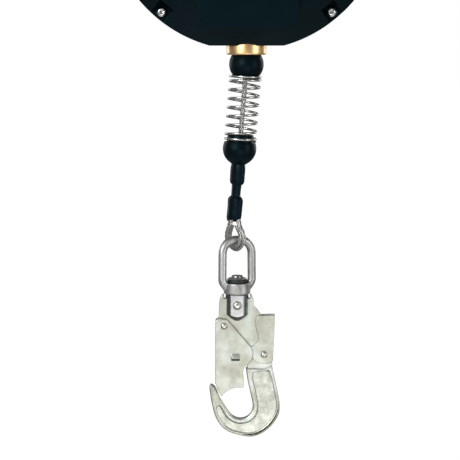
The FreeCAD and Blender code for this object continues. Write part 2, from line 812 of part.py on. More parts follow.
def ferrules_and_sleeve(rope):
    end = size("sleeve_end")
    blanks = [stacked([(low, 7.6, 5.2), (low + 1.2, 8.0, 5.6), (high - 1.2, 8.0, 5.6),
                       (high, 7.6, 5.2)])
              for low, high in ((-117.0, -103.2), (-end + 3, -136.0))]
    lifeline_part("ferrules", Part.makeCompound([body.cut(rope) for body in blanks]))
    spans = [(-size("neck_drop") + 1.5, 8.3, 6.0), (-104, 8.9, 6.5), (-116.8, 8.9, 6.5),
             (-120.5, 5.9, 3.6), (-131.0, 5.9, 3.6), (-135.5, 9.0, 6.4),
             (-end + 3, 8.9, 6.3), (-end, 8.2, 5.5)]
    lifeline_part("shrink_sleeve", largest(stacked(spans).cut(blanks).cut(rope)))


def largest(shape):
    return max(shape.Solids, key=lambda solid: solid.Volume)


cable = cable_eye()
thimble()
ferrules_and_sleeve(cable)
lower_bumper(cable)


# ---- swivel eye, stem and hook -----------------------------------------------

swivel = Vector(size("swivel_x"), 0, 0)
rivet = Vector(size("swivel_x"), 0, size("rivet_z"))


def swivel_eye():
    turned = Rotation(Vector(0, 0, 1), size("eye_turn"))
    side, bar, arch = size("eye_side"), size("eye_bar_radius"), size("eye_arch")
    points = [Vector(x, 0, z) for x, z in (
        (-9.5, -559.8), (-side, -551.5), (-side + 0.4, arch), (side - 0.4, arch),
        (side, -551.5), (9.5, -559.8))]
    hoop = tube(rounded_path(points, [8, 13.5, 13.5, 8]), bar)
    low, high = size("collar_bottom"), size("collar_top")
    wide = size("collar_radius")
    collar = Part.makeCylinder(wide, high - low, Vector(0, 0, low))
    collar = collar.makeFillet(1.2, [edge for edge in collar.Edges
                                     if abs(edge.CenterOfMass.z - low) < 0.1
                                     and edge.Closed])
    ring_shape = hoop.fuse(collar)
    ring_shape = ring_shape.cut(Part.makeCylinder(10.6, 12, Vector(0, 0, high)))
    ring_shape = ring_shape.cut(
        Part.makeCylinder(size("stem_bore"), 40, Vector(0, 0, low - 10)))
    sub_part(feature("swivel_eye", ring_shape, swivel, turned), "swivel_eye")


def swivel_stem():
    """Stem with a forked end; heights are measured from the clevis rivet."""
    top = size("collar_bottom") - size("rivet_z") - 0.2
    above = size("collar_top") - size("rivet_z")
    body = revolved("stem_body", [
        (0, -17), (3.5, -17), (11.5, -9.8), (11.5, top - 0.8), (10.7, top), (5.5, top),
        (5.5, above + 5.2), (6, above + 5.4), (5.4, above + 7.6), (0, above + 7.8)], rivet)
    flats = [box("stem_flat%d" % number, (-20, low, -30), (20, low + 10, top + 0.01),
                 UPRIGHT, rivet) for number, low in enumerate((-19.4, 9.4))]
    gap = size("web_half") + 0.1
    slot = box("stem_slot", (-20, -gap, -30), (20, gap, 7), UPRIGHT, rivet)
    bore = cylinder("stem_rivet_bore", "3.02", "40", rivet + Vector(0, 20, 0), FRONT)
    sub_part(cut("swivel_stem", body, *(flats + [slot, bore])), "swivel_stem")
    sub_part(revolved("stem_nut", [(5.55, above + 0.15), (10, above + 0.15), (10, above + 4),
                                   (8.6, above + 5.2), (5.55, above + 5.2)], rivet),
             "stem_nut")
    sub_part(revolved("clevis_rivet", [
        (0, -10.6), (3.2, -10.6), (4.5, -9.4), (3, -9.4), (3, 9.4), (4.5, 9.4),
        (3.2, 10.6), (0, 10.6)], rivet, FRONT), "clevis_rivet")


# The hook is drawn from the front in a frame at the clevis rivet, y up.
GATE_PIVOT = (-13.1, -21.1)
LEVER_PIVOT = (26.9, -50.2)

WEB = [
    [(-13.1, 10.6), (-14.6, 10.3), (-16.8, 7.5), (-17.8, 3), (-18.3, -8), (-18.6, -18)],
    [(-18.6, -18), (-17.4, -25.5), (-11.5, -27.3)],
    [(-11.5, -27.3), (7, -50), (9, -58), (10.5, -72)],
    [(10.5, -72), (34, -72)],
    [(34, -72), (35.4, -60), (34.5, -48), (30, -28), (26, -14), (22, -7)],
    [(22, -7), (17.2, -1), (16.8, 4), (14.6, 9.8)],
    [(14.6, 9.8), (13.1, 10.6)],
    [(13.1, 10.6), (13.1, 6.6)],
    [(13.1, 6.6), (-13.1, 6.6)],
    [(-13.1, 6.6), (-13.1, 10.6)],
]
BOWL = [
    [(8.8, -64.2), (16, -63.8), (26, -64.6), (35.2, -61.5)],
    [(35.2, -61.5), (37, -70.5), (41.2, -90), (43, -104), (40.6, -114.5), (31, -126.5),
     (18, -133.6), (5, -133.2), (-11, -127.6), (-20.6, -116.5), (-25.6, -100),
     (-28, -84)],
    [(-28, -84), (-26.2, -80.9), (-22.2, -83.2)],
    [(-22.2, -83.2), (-17, -95.5)],
    [(-17, -95.5), (-13.5, -101), (-6.5, -111.2), (-0.5, -115), (5, -115.6),
     (10.5, -113.6), (14.4, -109), (15.8, -103), (14, -92.5), (10.4, -76), (8.8, -64.2)],
]
PANEL = [
    [(16.5, -69), (21, -68), (28, -67.6), (32.2, -70)],
    [(32.2, -70), (35, -79), (38, -93), (39, -103), (36.5, -112.5), (28, -122.8),
     (17, -128.8), (6, -129.2), (-7.5, -125), (-15.8, -116.5), (-20, -107), (-20, -104.5)],
    [(-20, -104.5), (-18, -102.8), (-16, -105)],
    [(-16, -105), (-11, -113.3), (-3, -119.4), (4.5, -120.6), (12.5, -118.6),
     (19, -112.5), (21.2, -103.5), (19.5, -91), (16, -75), (16.5, -69)],
]
GATE = [
    [(-22, -18), (-20.5, -14.6), (-17.5, -13.6)],
    [(-17.5, -13.6), (-10, -14.4)],
    [(-10, -14.4), (13.4, -41.8)],
    [(13.4, -41.8), (15.6, -46), (15, -53.5)],
    [(15, -53.5), (12, -58.6), (7.6, -62.4), (6, -67.5), (6.4, -73), (5.6, -84.4)],
    [(5.6, -84.4), (-6, -85), (-12, -88.6), (-15.6, -92.5)],
    [(-15.6, -92.5), (-20.7, -84.4)],
    [(-20.7, -84.4), (-20.7, -80.4)],
    [(-20.7, -80.4), (-22, -80)],
    [(-22, -80), (-22, -18)],
]
LEVER = [
    [(38, -10), (21.6, -10.4)],
    [(21.6, -10.4), (18.6, -15), (18.6, -20), (20.6, -29), (21.4, -34), (19.6, -38.6),
     (14, -42.2)],
    [(14, -42.2), (14.4, -50), (17, -56), (21, -58.4), (29, -59), (36, -57)],
    [(36, -57), (38, -10)],
]


def washer(inner, outer, low, high, at):
    place = Vector(at[0], at[1], low)
    return Part.makeCylinder(outer, high - low, place).cut(
        Part.makeCylinder(inner, high - low, place))


def bore(radius, at, reach=15):
    return Part.makeCylinder(radius, 2 * reach, Vector(at[0], at[1], -reach))


def hook_part(name, shape):
    return sub_part(feature(name, shape, rivet, FRONT), name)


def hook_body():
    web, bowl = size("web_half"), size("hook_half")
    body = plate(WEB, -web, web).fuse(plate(BOWL, -bowl, bowl))
    for low in (-bowl - 1, bowl - 0.7):
        body = body.cut(plate(PANEL, low, low + 1.7))
    body = body.cut(bore(3.05, (0, 0))).cut(bore(2.52, GATE_PIVOT))
    body = body.cut(bore(2.52, LEVER_PIVOT))
    for low in (-web - 1, web - 1.4):
        body = body.cut(Part.makeCylinder(5.4, 2.4, Vector(*LEVER_PIVOT, low)))
    hook_part("hook_body", body)


def folded_plate(outline, inner, outer, back, open_side):
    """A plate folded to a U: two cheeks joined by a back wall."""
    thick = outer - inner
    low, high = (back + thick, 80) if open_side > 0 else (-80, back - thick)
    space = Part.makeBox(high - low, 200, 2 * inner, Vector(low, -150, -inner))
    return plate(outline, -outer, outer).cut(space)


def wedge(across, down, face, rise):
    """A lanced tongue that rises from a plate's face towards its lower edge."""
    (left, right), (top, bottom) = across, down
    side = [Vector(left, top, face - 0.4), Vector(left, bottom, face - 0.4),
            Vector(left, bottom, face + rise), Vector(left, top, face)]
    return Part.Face(Part.makePolygon(side + side[:1])).extrude(Vector(right - left, 0, 0))


def gate():
    inner, outer = size("gate_inner"), size("gate_outer")
    shape = folded_plate(GATE, inner, outer, -22, 1).cut(bore(2.54, GATE_PIVOT))
    tab = wedge((-5.9, 2.5), (-49.4, -53.8), outer, 1.5)
    hook_part("gate", shape.fuse(tab))
    hook_part("gate_rivet", pivot_rivet(GATE_PIVOT, outer))
    gap = size("web_half") + 0.15
    coils = [washer(3.4, 4.6, low, low + 1.2, GATE_PIVOT) for low in (-gap - 1.2, gap)]
    hook_part("gate_spring", Part.makeCompound(coils))


def pivot_rivet(at, outer):
    shank = Part.makeCylinder(2.5, 2 * outer, Vector(at[0], at[1], -outer))
    for low, direction in ((outer + 0.02, 1), (-outer - 0.02, -1)):
        head = Part.makeCone(3.3, 2.4, 0.9, Vector(at[0], at[1], low),
                             Vector(0, 0, direction))
        neck = Part.makeCylinder(2.5, 0.1, Vector(at[0], at[1], low - 0.05))
        shank = shank.fuse([head, neck])
    return shank


def lock_lever():
    inner, outer = size("lever_inner"), size("lever_outer")
    outline = plate(LEVER, -outer, outer)
    space = Part.makeBox(120, 200, 2 * inner, Vector(-83.4, -150, -inner))
    shape = outline.cut(space).cut(bore(2.54, LEVER_PIVOT))
    hook_part("lock_lever", shape)
    hook_part("lever_rivet", pivot_rivet(LEVER_PIVOT, outer))
    deep = size("web_half") - 1.3
    coils = [washer(3.2, 4.8, low, low + 1.2, LEVER_PIVOT) for low in (-deep - 1.2, deep)]
    hook_part("lever_spring", Part.makeCompound(coils))


swivel_eye()
swivel_stem()
hook_body()
gate()
lock_lever()


# ---- carry handle ------------------------------------------------------------

HANDLE_SIDE, HANDLE_Y, HANDLE_UP = 60.0, 63.0, 45.0


def carry_handle():
    hinge = centre + Vector(0, HANDLE_Y, HANDLE_UP)
    side = HANDLE_SIDE
    points = [Vector(-side, 0, -5), Vector(-side, 0, -64), Vector(side, 0, -64),
              Vector(side, 0, -5)]
    grip = tube(rounded_path(points, [16, 16]), 4.5)
    for x in (-side, side):
        grip = grip.fuse(Part.makeCylinder(6, 8.4, Vector(x - 4.2, 0, 0), Vector(1, 0, 0)))
    for x in (-side, side):
        grip = grip.cut(Part.makeCylinder(3.04, 20, Vector(x - 10, 0, 0), Vector(1, 0, 0)))
    sub_part(feature("carry_handle", grip, hinge), "carry_handle")
    brackets, pins, screws = [], [], []
    base = size("cover_depth") - HANDLE_Y
    for x in (-side, side):
        bracket = Part.makeBox(19, 2.4, 34, Vector(x - 9.5, base, -10))
        for low in (x - 9.5, x + 4.6):
            bracket = bracket.fuse(Part.makeBox(4.9, 6 - base, 14, Vector(low, base, -7)))
        bracket = bracket.cut(Part.makeCylinder(3.02, 40, Vector(x - 20, 0, 0),
                                                Vector(1, 0, 0)))
        screw_at = Vector(x, base, 16)
        bracket = bracket.cut(Part.makeCylinder(2.1, 10, screw_at - Vector(0, 2, 0),
                                                Vector(0, 1, 0)))
        brackets.append(bracket.removeSplitter())
        pin = Part.makeCylinder(3, 19, Vector(x - 9.5, 0, 0), Vector(1, 0, 0))
        for end, direction in ((x + 9.5, 1), (x - 9.5, -1)):
            pin = pin.fuse(Part.makeCone(4.2, 3.2, 1.2, Vector(end, 0, 0),
                                         Vector(direction, 0, 0)))
        pins.append(pin)
        screws.append(Part.makeCylinder(4, 2.2, screw_at + Vector(0, 2.45, 0),
                                        Vector(0, 1, 0)).fuse(
            Part.makeCylinder(2, 2.5, screw_at, Vector(0, 1, 0))))
    sub_part(feature("handle_brackets", Part.makeCompound(brackets), hinge),
             "handle_brackets")
    sub_part(feature("handle_pins", Part.makeCompound(pins), hinge), "handle_pins")
    sub_part(feature("bracket_screws", Part.makeCompound(screws), hinge), "bracket_screws")


carry_handle()


# ---- hand over -------------------------------------------------------------

doc.recompute()
os.makedirs("parts", exist_ok=True)
for item in doc.Objects:
    if "Invalid" in item.State or "Error" in item.State:
        raise RuntimeError("%s is %s" % (item.Label, item.State))
for item in parts:
    shape = item.Shape
    if shape.isNull() or not shape.isValid():
        raise RuntimeError(item.Label + " has no valid shape")
    print("%-22s %2d solids %10.0f mm3" % (item.Label, len(shape.Solids), shape.Volume))
    shape.exportStep("parts/%s.step" % item.Label)
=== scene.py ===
import json
import math

import bmesh
import bpy
from mathutils import Matrix, Vector, noise

# Self retracting lifeline.  The object hangs from its anchor eye, the origin, with
# +Z up and the front facing -Y.  Profiles and routes are in millimetres.
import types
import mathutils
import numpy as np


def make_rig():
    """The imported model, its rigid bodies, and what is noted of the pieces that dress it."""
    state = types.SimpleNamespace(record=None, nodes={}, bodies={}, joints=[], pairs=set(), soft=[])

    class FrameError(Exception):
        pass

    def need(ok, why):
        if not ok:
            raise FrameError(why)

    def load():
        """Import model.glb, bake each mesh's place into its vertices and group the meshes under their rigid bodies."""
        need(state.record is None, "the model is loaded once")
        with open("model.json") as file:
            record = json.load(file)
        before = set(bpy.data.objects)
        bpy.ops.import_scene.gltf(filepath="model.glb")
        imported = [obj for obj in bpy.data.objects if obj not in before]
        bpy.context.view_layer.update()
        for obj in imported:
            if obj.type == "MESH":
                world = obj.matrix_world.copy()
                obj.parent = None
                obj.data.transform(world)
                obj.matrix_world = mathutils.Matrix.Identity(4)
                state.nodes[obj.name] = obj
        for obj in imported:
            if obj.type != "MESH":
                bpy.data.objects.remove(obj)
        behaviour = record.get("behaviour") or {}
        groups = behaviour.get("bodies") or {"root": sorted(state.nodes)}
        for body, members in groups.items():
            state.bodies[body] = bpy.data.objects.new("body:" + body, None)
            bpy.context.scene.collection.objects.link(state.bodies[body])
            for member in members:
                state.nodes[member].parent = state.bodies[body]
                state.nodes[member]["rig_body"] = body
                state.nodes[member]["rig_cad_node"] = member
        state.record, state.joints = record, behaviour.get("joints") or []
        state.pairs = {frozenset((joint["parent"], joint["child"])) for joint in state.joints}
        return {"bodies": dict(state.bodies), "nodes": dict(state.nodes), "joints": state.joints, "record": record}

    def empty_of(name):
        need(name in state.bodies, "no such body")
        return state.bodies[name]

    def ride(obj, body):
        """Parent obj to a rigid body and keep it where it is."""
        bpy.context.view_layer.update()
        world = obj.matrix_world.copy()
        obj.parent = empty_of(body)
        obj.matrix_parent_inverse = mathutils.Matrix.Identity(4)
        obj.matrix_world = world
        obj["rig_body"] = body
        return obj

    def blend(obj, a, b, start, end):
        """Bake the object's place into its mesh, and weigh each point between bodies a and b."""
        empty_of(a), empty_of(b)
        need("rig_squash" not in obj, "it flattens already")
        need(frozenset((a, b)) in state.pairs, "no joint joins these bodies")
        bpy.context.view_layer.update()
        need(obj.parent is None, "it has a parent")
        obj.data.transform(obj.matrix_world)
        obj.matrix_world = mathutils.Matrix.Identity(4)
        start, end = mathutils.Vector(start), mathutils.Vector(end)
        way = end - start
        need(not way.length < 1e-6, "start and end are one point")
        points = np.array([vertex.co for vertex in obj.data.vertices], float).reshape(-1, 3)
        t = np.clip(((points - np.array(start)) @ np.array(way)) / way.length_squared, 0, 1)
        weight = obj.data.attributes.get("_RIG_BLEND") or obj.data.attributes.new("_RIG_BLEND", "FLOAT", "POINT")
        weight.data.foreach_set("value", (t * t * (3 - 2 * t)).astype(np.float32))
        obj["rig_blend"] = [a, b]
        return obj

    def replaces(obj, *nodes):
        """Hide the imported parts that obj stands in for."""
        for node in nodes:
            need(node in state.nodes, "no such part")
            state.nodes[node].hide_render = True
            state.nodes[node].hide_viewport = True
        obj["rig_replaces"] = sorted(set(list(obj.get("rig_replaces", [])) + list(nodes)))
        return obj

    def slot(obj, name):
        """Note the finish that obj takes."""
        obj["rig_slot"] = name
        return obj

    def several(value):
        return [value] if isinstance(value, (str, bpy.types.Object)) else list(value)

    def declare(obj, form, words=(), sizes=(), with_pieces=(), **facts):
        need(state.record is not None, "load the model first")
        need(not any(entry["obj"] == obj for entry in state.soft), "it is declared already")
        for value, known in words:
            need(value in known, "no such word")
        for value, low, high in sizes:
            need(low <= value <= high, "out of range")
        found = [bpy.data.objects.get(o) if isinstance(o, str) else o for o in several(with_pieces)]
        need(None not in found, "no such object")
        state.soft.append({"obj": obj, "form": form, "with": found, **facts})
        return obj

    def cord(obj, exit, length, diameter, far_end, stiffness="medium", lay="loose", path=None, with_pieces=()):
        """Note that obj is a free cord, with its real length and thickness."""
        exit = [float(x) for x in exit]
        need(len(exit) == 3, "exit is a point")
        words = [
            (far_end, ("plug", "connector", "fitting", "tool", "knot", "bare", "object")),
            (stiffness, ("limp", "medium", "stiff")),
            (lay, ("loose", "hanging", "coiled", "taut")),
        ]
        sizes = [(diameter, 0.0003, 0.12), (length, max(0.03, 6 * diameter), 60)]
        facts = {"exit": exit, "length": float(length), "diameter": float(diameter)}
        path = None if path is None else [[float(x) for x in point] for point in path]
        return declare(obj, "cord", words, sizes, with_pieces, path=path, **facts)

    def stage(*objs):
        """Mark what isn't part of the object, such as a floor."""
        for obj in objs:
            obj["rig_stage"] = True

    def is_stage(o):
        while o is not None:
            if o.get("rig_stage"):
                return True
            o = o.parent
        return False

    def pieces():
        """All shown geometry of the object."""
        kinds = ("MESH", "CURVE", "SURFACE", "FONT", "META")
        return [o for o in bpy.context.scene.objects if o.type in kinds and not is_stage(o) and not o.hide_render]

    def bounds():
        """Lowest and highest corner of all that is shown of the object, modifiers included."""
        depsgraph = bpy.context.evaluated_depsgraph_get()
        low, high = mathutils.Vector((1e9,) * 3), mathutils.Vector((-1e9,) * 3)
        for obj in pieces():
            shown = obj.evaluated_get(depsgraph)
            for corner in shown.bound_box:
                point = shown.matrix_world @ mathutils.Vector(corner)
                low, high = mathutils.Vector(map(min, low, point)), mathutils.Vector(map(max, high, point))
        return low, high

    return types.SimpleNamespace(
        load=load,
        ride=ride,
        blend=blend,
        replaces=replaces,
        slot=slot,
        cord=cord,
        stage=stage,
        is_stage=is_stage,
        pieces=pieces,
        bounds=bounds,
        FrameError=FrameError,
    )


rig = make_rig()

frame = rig.load()
cad_low, cad_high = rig.bounds()
nodes = frame["nodes"]
OWNER = {node: body for body, names in frame["record"]["behaviour"]["bodies"].items()
         for node in names}
MM = 0.001

# ---- sizes ------------------------------------------------------------------

LEAN = math.radians(4.6)           # the cable's lean towards -X
BALL_Z = -334.6
ROPE_RADIUS, ROPE_LAY, ROPE_STEP = 2.5, 30, 0.8
BALL_RADIUS, CUP_RADIUS = 17.2, 16.75
COIL_RADIUS, COIL_WIRE, COIL_TURNS = 15, 1.25, 9
COIL_TOP, CUP_DROP, CUP_SEAT, CUP_NECK = -11.4, 84, 77.7, 99.3
LOOP_TURN = math.radians(-50)      # the cable eye's plane, about the cable
SWIVEL_X, RIVET_Z = -9.2, -575.1
GUIDE_RADIUS, GUIDE_BOTTOM, GUIDE_TOP = 19.75, -325.1, -311.6
WEB_HALF, RIM_HALF, PANEL_HALF = 4.0, 5.2, 4.3        # half thicknesses of the hook
GATE_FACE, LEVER_FACE, CLEVIS_FACE = 6.8, 5.35, 9.4   # outer faces under the rivet heads

UPRIGHT = Matrix.Identity(4)
FRONT = Matrix.Rotation(math.pi / 2, 4, "X")          # local z to the front


def standing(x, y, z, turn=UPRIGHT):
    return Matrix.Translation((x, y, z)) @ turn


LEANING = standing(0, 0, BALL_Z, Matrix.Rotation(LEAN, 4, "Y"))
HOOK = standing(SWIVEL_X, 0, RIVET_Z, FRONT)


# ---- materials --------------------------------------------------------------

class Look:
    """A node material: a Principled shader with helpers for grain, and for painted shade in crevices."""

    def __init__(self, name, colour, metallic, roughness, edge=0, **sockets):
        self.material = bpy.data.materials.new(name)
        self.material.use_nodes = True
        self.tree = self.material.node_tree
        self.shader = self.tree.nodes["Principled BSDF"]
        self.shader.inputs["Base Color"].default_value = (*colour, 1)
        self.shader.inputs["Metallic"].default_value = metallic
        self.shader.inputs["Roughness"].default_value = roughness
        for socket, value in sockets.items():
            self.shader.inputs[socket.replace("_", " ")].default_value = value
        self.normal = None
        if edge:
            item = self.node("ShaderNodeBevel", Radius=edge * MM)
            item.samples = 6
            self.normal = item.outputs["Normal"]
            self.link(self.normal, self.shader.inputs["Normal"])

    def node(self, kind, **values):
        item = self.tree.nodes.new(kind)
        for key, value in values.items():
            item.inputs[key].default_value = value
        return item

    def link(self, source, target):
        self.tree.links.new(source, target)

    def noise(self, scale, detail=4, stretch=(1, 1, 1)):
        """Noise in object space, scale in features per metre."""
        coordinates = self.node("ShaderNodeTexCoord")
        mapping = self.node("ShaderNodeMapping", Scale=stretch)
        item = self.node("ShaderNodeTexNoise", Scale=scale, Detail=detail, Roughness=0.6)
        self.link(coordinates.outputs["Object"], mapping.inputs["Vector"])
        self.link(mapping.outputs["Vector"], item.inputs["Vector"])
        return item.outputs["Fac"]

    def colours(self, source, *stops):
        """Base colour from a ramp over source."""
        item = self.node("ShaderNodeValToRGB")
        band = item.color_ramp
        while len(band.elements) < len(stops):
            band.elements.new(0.5)
        for element, (spot, colour) in zip(band.elements, stops):
            element.position = spot
            element.color = (*colour, 1)
        self.link(source, item.inputs["Fac"])
        self.link(item.outputs["Color"], self.shader.inputs["Base Color"])
        self.base = item.outputs["Color"]

    def painted_crevice_shade(self, reach, dark):
        """Painted shade: ambient occlusion darkens the base colour in crevices within reach of another surface."""
        item = self.node("ShaderNodeAmbientOcclusion", Distance=reach * MM)
        item.samples = 6
        shade = self.node("ShaderNodeMapRange")
        shade.inputs["From Min"].default_value = 0.25
        shade.inputs["From Max"].default_value = 0.8
        shade.inputs["To Min"].default_value = dark
        mix = self.node("ShaderNodeMix")
        mix.data_type = "RGBA"
        mix.blend_type = "MULTIPLY"
        mix.inputs[0].default_value = 1
        self.link(item.outputs["AO"], shade.inputs["Value"])
        self.link(self.base, mix.inputs[6])
        self.link(shade.outputs["Result"], mix.inputs[7])
        self.link(mix.outputs[2], self.shader.inputs["Base Color"])

    def roughness(self, source, low, high):
        item = self.node("ShaderNodeMapRange")
        item.inputs["From Min"].default_value = 0.3
        item.inputs["From Max"].default_value = 0.7
        item.inputs["To Min"].default_value = low
        item.inputs["To Max"].default_value = high
        self.link(source, item.inputs["Value"])
        self.link(item.outputs["Result"], self.shader.inputs["Roughness"])

    def bump(self, source, strength, distance):
        item = self.node("ShaderNodeBump", Strength=strength, Distance=distance * MM)
        self.link(source, item.inputs["Height"])
        if self.normal is not None:
            self.link(self.normal, item.inputs["Normal"])
        self.normal = item.outputs["Normal"]
        self.link(self.normal, self.shader.inputs["Normal"])


def plastic_looks(looks):
    look = Look("moulded_plastic", (0.006, 0.012, 0.014), 0, 0.4, edge=1.2,
                Specular_IOR_Level=0.08, Specular_Tint=(0.45, 0.88, 1, 1))
    look.colours(look.noise(9, 3), (0.3, (0.0006, 0.0042, 0.0063)),
                 (0.75, (0.0018, 0.0070, 0.0098)))
    look.bump(look.noise(1500, 3), 0.18, 0.12)
    look.bump(look.noise(35, 2), 0.05, 1)
    look.roughness(look.noise(30, 5), 0.34, 0.48)
    looks["housing_plastic"] = look

    look = Look("gasket_rubber", (0.010, 0.010, 0.011), 0, 0.8, edge=0.3)
    look.bump(look.noise(900, 3), 0.3, 0.15)
    looks["gasket_rubber"] = look

    look = Look("bumper_rubber", (0.003, 0.005, 0.007), 0, 0.4, Specular_IOR_Level=0.08,
                Specular_Tint=(0.4, 0.85, 1, 1))
    look.colours(look.noise(150, 5), (0.35, (0.0010, 0.0030, 0.0042)),
                 (0.8, (0.0030, 0.0065, 0.0085)))
    look.bump(look.noise(1300, 4), 0.16, 0.1)
    look.bump(look.noise(110, 3), 0.12, 0.5)
    look.roughness(look.noise(100, 5), 0.28, 0.5)
    looks["bumper_rubber"] = look

    look = Look("shrunk_sleeve", (0.002, 0.005, 0.007), 0, 0.36, Specular_IOR_Level=0.1,
                Specular_Tint=(0.4, 0.85, 1, 1))
    look.bump(look.noise(420, 4, (1, 1, 0.3)), 0.25, 0.3)
    look.roughness(look.noise(170, 4), 0.26, 0.46)
    looks["sleeve_plastic"] = look

    look = Look("dipped_handle", (0.010, 0.011, 0.012), 0, 0.34)
    look.bump(look.noise(240, 3), 0.14, 0.3)
    look.roughness(look.noise(70, 4), 0.26, 0.46)
    looks["handle_coating"] = look

    look = Look("brake_lining", (0.10, 0.075, 0.055), 0, 0.8, edge=0.2)
    look.colours(look.noise(700, 5), (0.35, (0.06, 0.045, 0.035)),
                 (0.7, (0.16, 0.12, 0.09)))
    look.bump(look.noise(900, 3), 0.4, 0.2)
    looks["brake_lining"] = look


def metal_looks(looks):
    look = Look("turned_brass", (0.9, 0.62, 0.3), 1, 0.24)
    look.colours(look.noise(30, 5), (0.3, (0.84, 0.55, 0.24)), (0.7, (0.98, 0.68, 0.38)))
    look.bump(look.noise(50, 6, (1, 1, 60)), 0.2, 0.1)
    look.bump(look.noise(220, 3), 0.1, 0.15)
    look.roughness(look.noise(50, 6, (1, 1, 30)), 0.3, 0.42)
    looks["brass"] = look

    look = Look("bright_wire", (0.50, 0.50, 0.48), 1, 0.3)
    look.colours(look.noise(160, 4), (0.3, (0.38, 0.38, 0.36)), (0.7, (0.58, 0.58, 0.56)))
    look.roughness(look.noise(420, 4), 0.24, 0.38)
    look.bump(look.noise(1200, 3), 0.1, 0.05)
    looks["bright_spring"] = look

    look = Look("rope_wire", (0.30, 0.28, 0.25), 1, 0.36)
    look.colours(look.noise(700, 5), (0.3, (0.27, 0.25, 0.23)), (0.72, (0.64, 0.62, 0.59)))
    look.bump(look.noise(1800, 2), 0.2, 0.08)
    look.roughness(look.noise(500, 4), 0.26, 0.5)
    looks["wire_rope"] = look

    look = Look("thimble_steel", (0.66, 0.65, 0.62), 1, 0.3)
    look.roughness(look.noise(220, 5), 0.22, 0.42)
    look.bump(look.noise(600, 4), 0.15, 0.1)
    looks["thimble"] = look

    look = Look("forged_steel", (0.46, 0.46, 0.44), 1, 0.34)
    look.colours(look.noise(75, 6), (0.3, (0.31, 0.31, 0.295)), (0.7, (0.50, 0.50, 0.485)))
    look.bump(look.noise(480, 5), 0.2, 0.2)
    look.bump(look.noise(110, 3), 0.16, 0.6)
    look.roughness(look.noise(170, 5), 0.36, 0.54)
    # painted shade: the forged steel's base colour darkens in crevices within 3 mm
    look.painted_crevice_shade(3.0, 0.3)
    looks["forged_steel"] = look

    look = Look("dark_steel", (0.20, 0.205, 0.20), 1, 0.34)
    look.colours(look.noise(90, 6), (0.3, (0.14, 0.145, 0.14)), (0.7, (0.27, 0.275, 0.27)))
    look.bump(look.noise(500, 5), 0.18, 0.15)
    look.roughness(look.noise(190, 5), 0.24, 0.44)
    looks["dark_steel"] = look

    look = Look("satin_zinc", (0.56, 0.57, 0.51), 0.72, 0.36)
    look.colours(look.noise(42, 7), (0.32, (0.36, 0.35, 0.28)), (0.5, (0.48, 0.49, 0.42)),
                 (0.68, (0.60, 0.64, 0.60)))
    look.bump(look.noise(900, 5), 0.16, 0.1)
    look.bump(look.noise(75, 4), 0.12, 0.6)
    look.roughness(look.noise(120, 6), 0.27, 0.46)
    # painted shade: the zinc's base colour darkens in crevices within 3 mm, such as along the gate's edge
    look.painted_crevice_shade(3.0, 0.22)
    looks["hook_zinc"] = look

    look = Look("cast_panel", (0.50, 0.51, 0.44), 0.72, 0.42)
    look.colours(look.noise(120, 8), (0.36, (0.40, 0.41, 0.35)), (0.5, (0.55, 0.56, 0.49)),
                 (0.66, (0.67, 0.69, 0.62)))
    look.bump(look.noise(420, 6), 0.35, 0.2)
    look.roughness(look.noise(160, 6), 0.32, 0.5)
    # painted shade: the panel's base colour darkens in crevices within 1.6 mm, along the rim
    look.painted_crevice_shade(1.6, 0.3)
    looks["cast_panel"] = look

    look = Look("rivet_steel", (0.34, 0.32, 0.29), 1, 0.36)
    look.colours(look.noise(260, 6), (0.32, (0.17, 0.16, 0.14)), (0.7, (0.42, 0.41, 0.38)))
    look.bump(look.noise(600, 4), 0.25, 0.15)
    looks["rivet_steel"] = look

    # A brighter steel: the rivets' domed centres, and the painted highlight on the stem nut's top.
    look = Look("brighter_steel", (0.60, 0.57, 0.54), 1, 0.3)
    look.roughness(look.noise(400, 5), 0.22, 0.42)
    look.bump(look.noise(700, 4), 0.2, 0.12)
    looks["brighter_steel"] = look

    look = Look("stem_flat", (0.56, 0.57, 0.56), 1, 0.36)
    look.colours(look.noise(130, 6), (0.3, (0.44, 0.45, 0.44)), (0.7, (0.66, 0.67, 0.66)))
    look.bump(look.noise(420, 5, (1, 1, 0.2)), 0.16, 0.12)
    look.roughness(look.noise(170, 5), 0.28, 0.46)
    # painted shade: the flats' base colour darkens in crevices within 2.5 mm
    look.painted_crevice_shade(2.5, 0.35)
    looks["stem_flat"] = look

    # Near-black that stands for shade: painted shadow under the gate's tab and painted shade on the stem nut's sides.
    look = Look("painted_shadow_black", (0.010, 0.016, 0.016), 0.2, 0.5)
    look.roughness(look.noise(300, 4), 0.4, 0.6)
    look.bump(look.noise(600, 3), 0.2, 0.1)
    looks["painted_shadow_black"] = look

    look = Look("plated_steel", (0.60, 0.60, 0.57), 1, 0.32, edge=0.3)
    look.colours(look.noise(55, 5), (0.3, (0.50, 0.50, 0.46)), (0.7, (0.68, 0.68, 0.65)))
    look.bump(look.noise(500, 4), 0.1, 0.15)
    look.roughness(look.noise(80, 5), 0.24, 0.45)
    looks["plated_steel"] = look

    look = Look("screw_steel", (0.72, 0.72, 0.70), 1, 0.24)
    look.roughness(look.noise(400, 4), 0.16, 0.34)
    look.bump(look.noise(900, 3), 0.1, 0.06)
    looks["screw_steel"] = look

    look = Look("turned_aluminium", (0.72, 0.73, 0.74), 1, 0.3, edge=0.3)
    look.bump(look.noise(40, 5, (1, 30, 1)), 0.12, 0.15)
    look.roughness(look.noise(60, 5), 0.24, 0.4)
    looks["drum_aluminium"] = look


LOOKS = {}
plastic_looks(LOOKS)
metal_looks(LOOKS)


# ---- pieces ------------------------------------------------------------------

